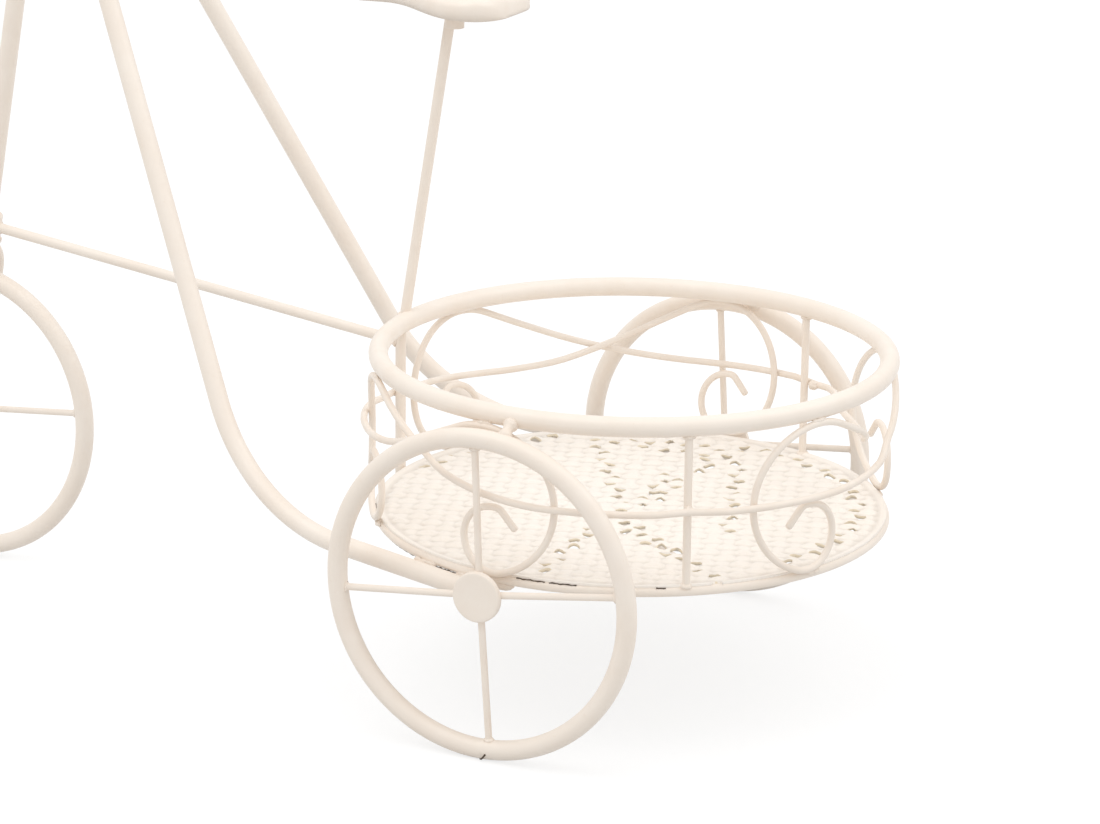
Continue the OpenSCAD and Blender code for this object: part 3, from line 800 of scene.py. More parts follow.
    def _bead_tree(self) -> NodeTree:
        """Makes the tree that sets an uneven weld bead on each point.

        Returns:
            The tree.
        """
        tree, given, result = self._geometry_group("weld_beads", {"Seed": 1, "Unevenness": 0.16})
        axis = tree.add("GeometryNodeInputNamedAttribute", {"Name": "bead_axis"}, data_type="FLOAT_VECTOR")
        size = tree.add("GeometryNodeInputNamedAttribute", {"Name": "bead_size"}, data_type="FLOAT_VECTOR")
        ball = tree.add("GeometryNodeMeshIcoSphere", {"Radius": 1.0, "Subdivisions": 4})
        turn = tree.add("FunctionNodeAlignRotationToVector", {"Vector": axis}, axis="Z")
        vary = tree.add("FunctionNodeRandomValue", {2: 0.9, 3: 1.12, "Seed": given["Seed"]}, data_type="FLOAT")
        parts = {0: size, "Scale": vary.outputs[1]}
        scaled = tree.add("ShaderNodeVectorMath", parts, operation="SCALE")
        parts = {"Points": given["Geometry"], "Instance": ball, "Rotation": turn, "Scale": scaled}
        set_out = tree.add("GeometryNodeInstanceOnPoints", parts)
        real = tree.add("GeometryNodeRealizeInstances", {0: set_out})
        place = tree.add("GeometryNodeInputPosition")
        lump = tree.add("ShaderNodeTexNoise", {"Vector": place, "Scale": 420.0, "Detail": 2.0})
        swell = tree.math("MULTIPLY", tree.math("SUBTRACT", lump, 0.5), given["Unevenness"])
        normal = tree.add("GeometryNodeInputNormal")
        parts = {0: normal, "Scale": tree.math("MULTIPLY", swell, 0.012)}
        push = tree.add("ShaderNodeVectorMath", parts, operation="SCALE")
        moved = tree.add("GeometryNodeSetPosition", {"Geometry": real, "Offset": push})
        return self._close(tree, given, result, moved)

    def _rib_tree(self) -> NodeTree:
        """Makes the tree that sets a round rib square to the line through each pair of points.

        Returns:
            The tree.
        """
        tree, given, result = self._geometry_group("grip_ribs", {"Count": 12, "Radius": 0.007, "Thickness": 0.0007})
        line = tree.add("GeometryNodeMeshToCurve", {0: given["Geometry"]})
        steps = tree.add("GeometryNodeCurveToPoints", {"Curve": line, "Count": given["Count"]})
        ring = tree.add("GeometryNodeCurvePrimitiveCircle", {"Resolution": 40, "Radius": given["Radius"]})
        wire = tree.add("GeometryNodeCurvePrimitiveCircle", {"Resolution": 8, "Radius": given["Thickness"]})
        rib = tree.add("GeometryNodeCurveToMesh", {"Curve": ring, "Profile Curve": wire})
        parts = {"Points": steps.outputs["Points"], "Instance": rib, "Rotation": steps.outputs["Rotation"]}
        ribs = tree.add("GeometryNodeInstanceOnPoints", parts)
        return self._close(tree, given, result, ribs)

    def _weave_tree(self) -> NodeTree:
        """Makes the tree that presses a basket weave into a flat sheet and notes how high it stands.

        Returns:
            The tree.
        """
        sockets = {"Pitch": 0.0065, "Depth": 0.0009, "Turn": 20.0, "Centre X": 0.0, "Radius": 0.13}
        tree, given, result = self._geometry_group("pressed_weave", sockets)
        place = tree.add("GeometryNodeInputPosition")
        axis = tree.add("ShaderNodeSeparateXYZ", {0: place})
        east = tree.math("SUBTRACT", axis.outputs[0], given["Centre X"])
        north = axis.outputs[1]
        turn = tree.math("RADIANS", given["Turn"])
        cosine = tree.math("COSINE", turn)
        sine = tree.math("SINE", turn)
        along = tree.math("ADD", tree.math("MULTIPLY", east, cosine), tree.math("MULTIPLY", north, sine))
        across = tree.math("SUBTRACT", tree.math("MULTIPLY", north, cosine), tree.math("MULTIPLY", east, sine))
        waver = tree.math("MULTIPLY", tree.math("SUBTRACT", tree.noise(place, 90.0), 0.5), 0.5)
        p = tree.math("ADD", tree.math("DIVIDE", along, given["Pitch"]), waver)
        q = tree.math("ADD", tree.math("DIVIDE", across, given["Pitch"]), waver)
        height = tree.math("MAXIMUM", self._thread(tree, p, q, 0.0, 1.0), self._thread(tree, q, p, 1.0, 0.62))
        reach = tree.math("SQRT", tree.math("ADD", tree.math("POWER", east, 2.0), tree.math("POWER", north, 2.0)))
        out = tree.math("DIVIDE", reach, given["Radius"])
        inside = tree.ramp(out, 0.945, 0.975, 1.0, 0.0)
        rim = tree.ramp(out, 0.965, 0.985, 0.0, 0.62)
        relief = tree.math("ADD", tree.math("MULTIPLY", height, inside), rim)
        lift = tree.math("MULTIPLY", tree.math("SUBTRACT", relief, 0.6), given["Depth"])
        offset = tree.add("ShaderNodeCombineXYZ", {2: lift})
        raised = tree.add("GeometryNodeSetPosition", {"Geometry": given["Geometry"], "Offset": offset})
        parts = {"Name": "relief", "Geometry": raised, "Value": relief}
        stored = tree.add("GeometryNodeStoreNamedAttribute", parts, data_type="FLOAT", domain="POINT")
        return self._close(tree, given, result, stored)

    def _thread(self, tree: Tree, along: Socket, across: Socket, shift: float, tall: float) -> Socket:
        """Returns the height of one set of threads, which go over and under the others.

        Args:
            tree: the tree.
            along: place along the threads, in cells.
            across: place across the threads, in cells.
            shift: 0 or 1, which of two neighbours goes over first.
            tall: height of a crest.

        Returns:
            The height socket, from 0 to tall.
        """
        share = tree.math("SUBTRACT", tree.math("MULTIPLY", tree.math("FRACT", across), 2.0), 1.0)
        round_top = tree.math("SUBTRACT", 1.0, tree.math("POWER", tree.math("ABSOLUTE", share), 2.6))
        cell = tree.math("ADD", tree.math("FLOOR", across), shift)
        phase = tree.math("ADD", tree.math("SUBTRACT", along, 0.5), cell)
        wave = tree.math("COSINE", tree.math("MULTIPLY", phase, math.pi))
        over = tree.math("ADD", 0.52, tree.math("MULTIPLY", wave, 0.48))
        return tree.math("MULTIPLY", tree.math("MULTIPLY", round_top, over), tall)


@dataclass(frozen=True)
class Weld:
    """One weld bead.

    Attributes:
        place: middle of the bead.
        axis: the direction that it is measured along.
        across: its radius square to the axis.
        along: its radius along the axis.
    """

    place: Vector
    axis: Vector
    across: float
    along: float


def rounded_ends(places: Sequence[Vector], radius: float, rounding: float = 0.0) -> list:
    """Gives a route its radius, and rounds its two ends.

    Args:
        places: the route's places.
        radius: the tube's radius.
        rounding: how far from each end the tube narrows, 0 for square ends.

    Returns:
        The route as places and radii.
    """
    if rounding <= 0.0:
        return [(place, radius) for place in places]
    ends = []
    for end, inner in ((places[0], places[1]), (places[-1], places[-2])):
        way = (end - inner).normalized()
        turns = (0.0, 0.5, 0.95, 1.3, 1.5)
        ends.append([(end - way * rounding * (1.0 - math.sin(turn)), radius * math.cos(turn)) for turn in turns])
    return [*reversed(ends[0]), *((place, radius) for place in places[1:-1]), *ends[1]]


def bent(corners: Sequence[Vector], radius: float, steps: int) -> list:
    """Rounds the inner corners of a route with one bend radius.

    Args:
        corners: the route's ends and corners.
        radius: the bend radius.
        steps: places along each bend.

    Returns:
        The places of the route.
    """
    places = [corners[0]]
    for before, corner, after in zip(corners, corners[1:], corners[2:]):
        towards = (before - corner).normalized()
        onwards = (after - corner).normalized()
        angle = towards.angle(onwards)
        middle = corner + (towards + onwards).normalized() * radius / math.sin(angle / 2)
        first = (corner + towards * radius / math.tan(angle / 2) - middle).normalized()
        for turn in spread(0.0, math.pi - angle, steps):
            places.append(middle + radius * (first * math.cos(turn) - towards * math.sin(turn)))
    places.append(corners[-1])
    return places


def seam(start: Vector, end: Vector, across: float, pitch: float = 0.0022) -> list:
    """Returns a row of overlapping weld beads from one place to another.

    Args:
        start: middle of the first bead.
        end: middle of the last bead.
        across: radius of a bead square to the row.
        pitch: distance from bead to bead.

    Returns:
        The beads.
    """
    count = max(2, round((end - start).length / pitch))
    way = (end - start).normalized()
    return [Weld(start.lerp(end, step / count), way, across, pitch * 1.25) for step in range(count + 1)]


# Sub-assemblies


@dataclass
class SubAssembly:
    """What every sub-assembly of the stand is made with.

    Attributes:
        shop: the workshop.
        layout: the stand's layout.
    """

    shop: Workshop
    layout: Layout

    def turned(
        self, node: str, profile: Sequence[tuple], axis: Vector, foot: Vector, sides: int, body: Body = Body.STAND
    ) -> None:
        """Makes a painted round piece in place of a node.

        Args:
            node: the node that it replaces.
            profile: radius and height of each point of its outline.
            axis: direction of its axis.
            foot: the place where height is zero.
            sides: number of steps round the axis.
            body: the body that it rides on.
        """
        mesh = self.shop.lathe(node + "_turned", profile, axis, foot, sides)
        self.shop.piece(node + "_turned", mesh, body, self.shop.palette.paint, replaces=node)

    def swept(self, node: str, route: Sequence[tuple], material: Material, sides: int, body: Body = Body.STAND) -> None:
        """Makes a bent tube or wire in place of a node.

        Args:
            node: the node that it replaces.
            route: the places and radii along it.
            material: its material.
            sides: number of its sides.
            body: the body that it rides on.
        """
        mesh = self.shop.tubes(node + "_bent", [route], material, sides)
        self.shop.piece(node + "_bent", mesh, body, material, replaces=node)


@dataclass(frozen=True)
class WireBend:
    """How one scroll wire is bent.

    Attributes:
        node: the wire's node in the construction.
        turn: turn of its middle round the basket, 0 at the front.
        reach: distance along the wall from its middle to its left and its right curl.
        sag: how far its left and its right run hang.
        inward: how far its left run is bent into the basket.
        fall: angle from its middle at which it turns in to its left and its right curl.
        width: width of its left and its right curl as a share of their height.
    """

    node: str
    turn: float
    reach: tuple
    sag: tuple
    inward: float
    fall: tuple
    width: tuple = (1.0, 1.0)


@dataclass
class ScrollWires(SubAssembly):
    """The three long wires that run round the basket and end in curls.

    Attributes:
        wire_d: diameter of the wire.
        out: how far the curls stand out from the rings' middle line.
        play: gap between two wires that cross.
        drop: depth of the long middle run under the top ring.
        slope: slope of the wire on its way up to a curl, in degrees.
        hook_r: radius of the small inner curl.
        tip_r: radius of the last bend.
        tail: length of the straight end.
        post_d: diameter of the wall posts.
        upright_d: diameter of the upright rod at the front.
    """

    wire_d: float = 0.0036
    out: float = 0.0036
    play: float = 0.00015
    drop: float = 0.042
    slope: float = 24.0
    hook_r: float = 0.017
    tip_r: float = 0.006
    tail: float = 0.011
    post_d: float = 0.004
    upright_d: float = 0.0055

    BENDS = (
        WireBend("front_scroll_wire", -1.0, (0.190385, 0.1900), (0.00299, -0.00754), 0.0, (36.0, 66.0), (0.85, 1.0)),
        WireBend("near_scroll_wire", 127.5, (0.19786, 0.20761), (0.0, 0.0), 0.0, (52.0, 50.0)),
        WireBend("far_scroll_wire", 249.0, (0.2060, 0.2041), (0.00299, 0.0), 0.01534, (0.0, 66.0)),
    )
    MIDDLE_SPAN = 8.0
    FALL_SPAN = 12.0
    INWARD_SPANS = ((1.0, 22.0), (50.0, 32.0))
    SAG_TURN = -8.0
    SAG_END = 65.0
    EASE_SHARE = 0.57
    JOINT_TURN = -74.0
    HOOK_SWEEP = 200.0
    TIP_SWEEP = 45.0

    def __post_init__(self) -> None:
        """Works out the heights and layers of the wires."""
        layout = self.layout
        top_touch = layout.ring_d / 2 + self.wire_d / 2 + self.play
        floor_touch = layout.floor_d / 2 + self.wire_d / 2 + self.play
        crest = layout.ring_z - math.sqrt(top_touch**2 - self.out**2)
        base = layout.floor_z + math.sqrt(floor_touch**2 - self.out**2)
        self.curl_r = (crest - base) / 2
        self.curl_z = (crest + base) / 2
        self.run_z = layout.ring_z - self.drop
        self.curl_layer = layout.ring_r + self.out
        self.run_layer = self.curl_layer + self.wire_d + self.play
        self.over_upright = layout.ring_r + layout.floor_d / 2 + self.upright_d + self.wire_d / 2 + self.play
        self.over_post = layout.ring_r + self.post_d / 2 + self.wire_d / 2 + self.play

    def build(self) -> list:
        """Makes the three wires.

        Returns:
            The welds where they touch the rings, the posts and each other.
        """
        welds: list = []
        for bend in self.BENDS:
            middle = self.over_upright if bend.turn < 0.0 else self.over_post
            route = rounded_ends(self._route(bend, middle), self.wire_d / 2, self.wire_d * 0.35)
            self.swept(bend.node, route, self.shop.palette.rod_paint, 14)
            welds.extend(self._welds(bend, middle))
        return welds

    def _half(self, reach: float, width: float) -> list:
        """Returns the right half of an unrolled wire: along the wall from its middle, and up to its curl.

        Args:
            reach: distance from the wire's middle to the curl's.
            width: the curl's width as a share of its height.

        Returns:
            Flat places: along the wall, and up.
        """
        curl = [Vector((reach + width * place.x, self.curl_z + place.y)) for place in self._curl()]
        slope = math.atan(math.tan(math.radians(self.slope)) / width)
        rise = curl[0].y - self.run_z
        ease_r = self.EASE_SHARE * rise / (1.0 - math.cos(slope))
        ease_up = ease_r * (1.0 - math.cos(slope))
        slant = (rise - ease_up) / math.sin(slope)
        ease_from = curl[0].x - slant * math.cos(slope) - ease_r * math.sin(slope)
        flat = [Vector((along, self.run_z)) for along in spread(0.0, ease_from, 8)[:-1]]
        ease = [
            Vector((ease_from + ease_r * math.sin(turn), self.run_z + ease_r * (1.0 - math.cos(turn))))
            for turn in spread(0.0, slope, 12)
        ]
        climb = [ease[-1] + polar(along, math.degrees(slope)) for along in spread(0.0, slant, 4)[1:-1]]
        return [*flat, *ease, *climb, *curl]

    def _curl(self) -> list:
        """Shapes a round curl about its middle.

        Returns:
            Its flat places, from where the wire comes in to its straight end.
        """
        hook_turn = self.JOINT_TURN - self.HOOK_SWEEP
        tip_turn = hook_turn - self.TIP_SWEEP
        hook_mid = polar(self.curl_r - self.hook_r, self.JOINT_TURN)
        tip_mid = hook_mid + polar(self.hook_r - self.tip_r, hook_turn)
        curl = [polar(self.curl_r, turn) for turn in spread(90.0 + self.slope, self.JOINT_TURN, 40)[:-1]]
        hook = [hook_mid + polar(self.hook_r, turn) for turn in spread(self.JOINT_TURN, hook_turn, 26)[:-1]]
        tip = [tip_mid + polar(self.tip_r, turn) for turn in spread(hook_turn, tip_turn, 8)]
        way = math.radians(tip_turn)
        return [*curl, *hook, *tip, tip[-1] + self.tail * Vector((math.sin(way), -math.cos(way)))]

    def _layer(self, angle: float, middle: float, bend: WireBend) -> float:
        """Measures how far out a wire runs.

        Args:
            angle: angle from the wire's middle, in degrees.
            middle: how far out its middle runs.
            bend: how it is bent.

        Returns:
            The radius there.
        """
        past = -angle - bend.fall[0] if angle < 0.0 else angle - bend.fall[1]
        run = self.run_layer + (middle - self.run_layer) * (1.0 - smooth_step(abs(angle) / self.MIDDLE_SPAN))
        entering, leaving = (smooth_step((-angle - start) / width) for start, width in self.INWARD_SPANS)
        inward = bend.inward * entering * (1.0 - leaving)
        return run + (self.curl_layer - run) * smooth_step(past / self.FALL_SPAN) - inward

    def _sag(self, angle: float, bend: WireBend) -> float:
        """Measures how far a run hangs under its unbent line.

        Args:
            angle: angle from the wire's middle, in degrees.
            bend: how it is bent.

        Returns:
            The sag there.
        """
        left = angle < self.SAG_TURN
        share = (angle - self.SAG_TURN) / ((-self.SAG_END if left else self.SAG_END) - self.SAG_TURN)
        return 0.0 if share > 1.0 else bend.sag[0 if left else 1] * math.sin(math.pi * share) ** 2

    def _route(self, bend: WireBend, middle: float) -> list:
        """Bends a whole wire round the basket.

        Args:
            bend: how it is bent.
            middle: how far out its middle runs.

        Returns:
            Its places, from curl to curl.
        """
        left, right = (self._half(reach, width) for reach, width in zip(bend.reach, bend.width))
        places = []
        for point in [Vector((-point.x, point.y)) for point in reversed(left[1:])] + right:
            angle = math.degrees(point.x / self.layout.ring_r)
            height = point.y - self._sag(angle, bend)
            places.append(self.layout.round_place(bend.turn + angle, self._layer(angle, middle, bend), height))
        return places

    def _welds(self, bend: WireBend, middle: float) -> list:
        """Sets the welds of one wire.

        Args:
            bend: how the wire is bent.
            middle: how far out its middle runs.

        Returns:
            The welds at both crests, both feet and its middle.
        """
        layout = self.layout
        lift = self.curl_r + self.wire_d * 0.4
        welds = []
        for sign, reach in zip((-1.0, 1.0), bend.reach):
            angle = bend.turn + sign * math.degrees(reach / layout.ring_r)
            along = (layout.round_place(angle + 1.0, 1.0, 0.0) - layout.round_place(angle - 1.0, 1.0, 0.0)).normalized()
            crest = layout.round_place(angle, self.curl_layer, self.curl_z + lift)
            foot = layout.round_place(angle, self.curl_layer - 0.0008, self.curl_z - lift)
            welds += [Weld(crest, along, 0.0013, 0.0046), Weld(foot, along, 0.0013, 0.0044)]
        centre = layout.round_place(bend.turn, middle - self.wire_d * 0.5, self.run_z - self._sag(0.0, bend))
        return [*welds, Weld(centre, UP, 0.0027, 0.0026)]


@dataclass
class Basket(SubAssembly):
    """The basket's posts, its woven floor sheet and its welds.

    Attributes:
        grid: size of one cell of the floor sheet's mesh.
        sheet_t: thickness of the sheet.
        sheet_lip: how far the sheet reaches past the middle of the floor ring.
        eyelet_len: length of an eyelet.
        eyelet_w: width of an eyelet.
        eyelet_step: distance from one eyelet to the next along a row.
        eyelet_sway: how far the eyelets are stepped to either side of their row.
        weave_turn: turn of the weave and the eyelets, in degrees.
        weave_pitch: width of one woven thread.
        weave_depth: height of the pressed relief.
    """

    grid: float = 0.0012
    sheet_t: float = 0.0010
    sheet_lip: float = 0.001
    eyelet_len: float = 0.0070
    eyelet_w: float = 0.0056
    eyelet_step: float = 0.0105
    eyelet_sway: float = 0.0018
    weave_turn: float = 20.0
    weave_pitch: float = 0.0084
    weave_depth: float = 0.0023

    POST_TURNS = (127.5, 251.0)
    ROWS = (
        ((-58.0, -80.0), (2.0, 12.0)), ((-4.0, -52.0), (5.0, 0.0)),
        ((6.0, -47.0), (9.0, -12.0)), ((21.0, -88.0), (62.0, 18.0)),
        ((4.0, -86.0), (10.0, -66.0)), ((12.0, 30.0), (93.0, 92.0)),
        ((19.0, 42.0), (60.0, 71.0)), ((1.0, 48.0), (8.0, 118.0)),
    )
    ARCS = (
        (0.93, 156.0, 218.0), (0.94, 226.0, 264.0),
        (0.86, 264.0, 306.0), (0.76, 264.0, 292.0),
        (0.97, 316.0, 358.0),
    )

    def build(self) -> list:
        """Makes the sheet.

        Returns:
            The welds of the posts and the upright.
        """
        self._sheet()
        return self._post_welds() + self._upright_welds()

    def _eyelets(self) -> list:
        """Works out where the eyelets are.

        Returns:
            Their middles, rearwards and towards the far side of the basket's middle.
        """
        middles: list = []
        for start, end in self.ROWS:
            first = Vector(start) / 1000.0
            last = Vector(end) / 1000.0
            count = max(2, round((last - first).length / self.eyelet_step))
            way = (last - first).normalized()
            for step in range(count + 1):
                sway = self.eyelet_sway * (1 - 2 * (step % 2))
                place = first.lerp(last, step / count) + sway * Vector((-way.y, way.x))
                middles.append(Vector((place.x, -place.y)))
        inner = self.layout.ring_r - self.layout.floor_d
        for share, first_turn, last_turn in self.ARCS:
            count = round(math.radians(last_turn - first_turn) * inner * share / self.eyelet_step)
            for step, turn in enumerate(spread(first_turn, last_turn, count)):
                middles.append(-polar(inner * share + self.eyelet_sway * (1 - 2 * (step % 2)), turn))
        return middles

    def _sheet(self) -> None:
        """Makes the pierced sheet and presses the weave into it."""
        layout = self.layout
        edge = layout.ring_r + self.sheet_lip
        top = layout.floor_z + layout.floor_d / 2 + self.sheet_t
        shape = bmesh.new()
        count = int(edge / self.grid) + 2
        turn = math.radians(self.weave_turn)
        lattice = {}
        for row in range(-count, count + 1):
            for column in range(-count, count + 1):
                east = column * self.grid * math.cos(turn) - row * self.grid * math.sin(turn)
                north = column * self.grid * math.sin(turn) + row * self.grid * math.cos(turn)
                if math.hypot(east, north) < edge + 2 * self.grid:
                    lattice[row, column] = Vector((east, north))
        eyelets = self._eyelets()
        outside = {key: self._shift(place, edge, eyelets) for key, place in lattice.items()}
        verts: dict = {}
        for row, column in lattice:
            corners = [(row, column), (row, column + 1), (row + 1, column + 1), (row + 1, column)]
            if any(corner not in lattice for corner in corners):
                continue
            if all(outside[corner] is not None for corner in corners):
                continue
            for corner in corners:
                if corner not in verts:
                    flat = outside[corner] if outside[corner] is not None else lattice[corner]
                    verts[corner] = shape.verts.new((layout.basket_x + flat.x, flat.y, top))
            shape.faces.new([verts[corner] for corner in corners])
        flat_mesh = bpy.data.meshes.new("floor_sheet_flat")
        bmesh.ops.recalc_face_normals(shape, faces=shape.faces)
        shape.to_mesh(flat_mesh)
        shape.free()
        paint = self.shop.palette.sheet
        sizes = {
            "Pitch": self.weave_pitch,
            "Depth": self.weave_depth,
            "Turn": self.weave_turn,
            "Centre X": layout.basket_x,
            "Radius": edge,
            "Finish": paint,
        }
        woven = self.shop.grown("woven_floor_sheet", flat_mesh, self.shop.weave_tree, sizes)
        made = self.shop.piece("woven_floor_sheet", woven, Body.STAND, paint, replaces="floor_sheet")
        # The eyelets' cut walls take the darker finish as painted shade; faces at the sheet's outer edge keep the
        # sheet's paint.
        for material in (self.shop.palette.shaded_eyelet_wall, paint, paint):
            woven.materials.append(material)
        for face in woven.polygons:
            if math.hypot(face.center.x - layout.basket_x, face.center.y) > edge - 2.0 * self.grid:
                face.material_index = 2
        wall = made.modifiers.new("wall", "SOLIDIFY")
        wall.thickness = self.sheet_t + self.weave_depth / 4
        wall.offset = -1.0
        wall.material_offset_rim = 1

    def _shift(self, place: Vector, edge: float, eyelets: Sequence[Vector]) -> Optional[Vector]:
        """Moves a lattice point that lies outside the sheet or in an eyelet to its edge.

        Args:
            place: the point, from the basket's middle.
            edge: radius of the sheet.
            eyelets: the middles of the eyelets.

        Returns:
            Where the point goes, or None where it stays.
        """
        if place.length > edge:
            return place.normalized() * edge
        turn = math.radians(self.weave_turn)
        for middle in eyelets:
            away = place - middle
            if abs(away.x) > self.eyelet_len or abs(away.y) > self.eyelet_len:
                continue
            along = away.x * math.cos(turn) + away.y * math.sin(turn)
            across = away.y * math.cos(turn) - away.x * math.sin(turn)
            depth = math.hypot(2.0 * along / self.eyelet_len, 2.0 * across / self.eyelet_w)
            depth = 0.55 * depth + 0.45 * (2.0 * abs(along) / self.eyelet_len + 2.0 * abs(across) / self.eyelet_w)
            if depth < 1.0:
                return middle + away / max(depth, 0.05)
        return None

    def _post_welds(self) -> list:
        """Sets the welds of the wall posts.

        Returns:
            The welds at both ends of each post.
        """
        layout = self.layout
        top = (layout.ring_z - layout.ring_d / 2, 0.0030, 0.0015)
        foot = (layout.floor_z + layout.floor_d / 2, 0.0031, 0.0016)
        places = [(turn, end) for turn in self.POST_TURNS for end in (top, foot)]
        return [Weld(layout.round_place(turn, layout.ring_r, level), UP, *size) for turn, (level, *size) in places]

    def _upright_welds(self) -> list:
        """Sets the welds of the upright at the front.

        Returns:
            Its welds at the floor ring, the top ring, the brace and the seat post.
        """
        low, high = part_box("front_upright")
        brace_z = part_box("brace_rod")[0].z + 0.0027
        seat_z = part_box("seat_post")[0].z + 0.0006
        ring_front = self.layout.basket_x - self.layout.ring_r
        return [
            Weld(Vector((high.x, 0.0, self.layout.floor_z)), TO_FAR, 0.0016, 0.0036),
            Weld(Vector(((low.x + high.x) / 2 + 0.001, 0.0, high.z - 0.0004)), UP, 0.0036, 0.0016),
            Weld(Vector((low.x, 0.0, brace_z)), TO_REAR, 0.0036, 0.0016),
            Weld(Vector((ring_front - 0.0027, 0.0, seat_z)), UP, 0.0038, 0.0016),
        ]


@dataclass
class SpokedWheel(SubAssembly):
    """A wheel with four spokes in a rim of bent tube.

    Attributes:
        spoke_d: diameter of a spoke.
        spoke_turn: turn of the spokes from upright, in degrees.
        seam_turn: where the rim is butted together, in degrees from the rear.
    """

    spoke_d: float = 0.0035
    spoke_turn: float = 5.5
    seam_turn: float = -87.5

    def rim_welds(self, centre: Vector, shifts: Sequence[float] = (0.0, 0.0, 0.0, 0.0)) -> list:
        """Sets the welds of a rim.

        Args:
            centre: the wheel's middle.
            shifts: how far each spoke is turned from its even place, in degrees.

        Returns:
            A weld at the end of each spoke, and the flat bead where the rim's tube is butted together.
        """
        layout = self.layout
        welds = []
        for step, shift in enumerate(shifts):
            way = on_wheel(self.spoke_turn + shift + 90.0 * step)
            place = centre + way * (layout.rim_r - layout.rim_d / 2)
            welds.append(Weld(place, way, self.spoke_d * 0.74, self.spoke_d * 0.34))
        way = on_wheel(self.seam_turn)
        return [*welds, Weld(centre + way * layout.rim_r, way.cross(TO_FAR), layout.rim_d / 2 + 0.00035, 0.0013)]


@dataclass
class RearWheels(SpokedWheel):
    """The two fixed rear wheels.

    Attributes:
        lug_d: diameter of a lug.
        lug_flare: how much thicker a lug is where it meets the ring and the rim.
        dish: depth of a disc's middle under its rim.
    """

    lug_d: float = 0.005
    lug_flare: float = 0.0013
    dish: float = 0.0003

    SHIFTS = {Side.NEAR: (3.0, -3.0, 0.5, -1.2), Side.FAR: (0.0, -2.0, 0.0, 0.0)}
    LUG_FORWARD = {Side.NEAR: 0.001, Side.FAR: -0.0045}
    FLARES = (0.30, 0.78)
    FLARE_SPREAD = 0.14

    def build(self) -> list:
        """Makes the discs, lugs and seams.

        Returns:
            The welds of the spokes, lugs and axle.
        """
        layout = self.layout
        welds: list = []
        for side in Side:
            centre = Vector((layout.wheel_x, side.value * layout.wheel_y, layout.axle_z))
            self._disc(side)
            welds.extend(self.rim_welds(centre, self.SHIFTS[side]))
        palette = self.shop.palette
        mesh = self.shop.tubes("wheel_lugs_welded", [self._lug_route(side) for side in Side], palette.weld, 28)
        self.shop.piece("wheel_lugs_welded", mesh, Body.STAND, palette.weld, replaces="wheel_lugs")
        return welds

    def _disc(self, side: Side) -> None:
        """Makes the flat disc on an axle end, with a softened rim and a slight dish.

        Args:
            side: the side of the stand.
        """
        node = side.name.lower() + "_hub_disc"
        low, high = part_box(node)
        radius = span(node, 0) / 2
        depth = span(node, 1)
        soft = depth * 0.28
        turns = (1.571, 1.18, 0.785, 0.39, 0.0)
        corner = [(radius - soft + soft * math.sin(turn), depth - soft + soft * math.cos(turn)) for turn in turns]
        floor = depth - self.dish
        profile = [(0.0, 0.0), (radius, 0.0), *corner, (radius * 0.82, depth), (radius * 0.3, floor), (0.0, floor)]
        foot = Vector(((low.x + high.x) / 2, low.y if side is Side.FAR else high.y, (low.z + high.z) / 2))
        self.turned(node, profile, side.value * TO_FAR, foot, 64)

    def _lug_route(self, side: Side) -> list:
        """Returns the way of a lug from the top ring's side down to the rim, thicker at both ends.

        Args:
            side: the side of the stand.

        Returns:
            Its places and radii.
        """
        layout = self.layout
        forward = self.LUG_FORWARD[side]
        x = layout.basket_x - forward
        ring_y = math.sqrt(layout.ring_r**2 - forward**2)
        rim_z = layout.axle_z + math.sqrt(layout.rim_r**2 - (layout.wheel_x - x) ** 2)
        knots = (
            Vector((x, side.value * (ring_y + 0.0006), layout.ring_z - 0.0010)),
            Vector((x, side.value * (ring_y + 0.0056), layout.ring_z - 0.0026)),
            Vector((x, side.value * (layout.wheel_y - 0.0040), rim_z + 0.0050)),
            Vector((x, side.value * (layout.wheel_y - 0.0008), rim_z + 0.0006)),
        )
        route = []
        for share in spread(0.0, 1.0, 20):
            rest = 1.0 - share
            weights = (rest**3, 3.0 * rest**2 * share, 3.0 * rest * share**2, share**3)
            place = sum((weight * knot for weight, knot in zip(weights, knots)), Vector())
            swell = sum(math.exp(-(((share - flare) / self.FLARE_SPREAD) ** 2)) for flare in self.FLARES)
            route.append((place, self.lug_d / 2 + self.lug_flare * swell))
        return route


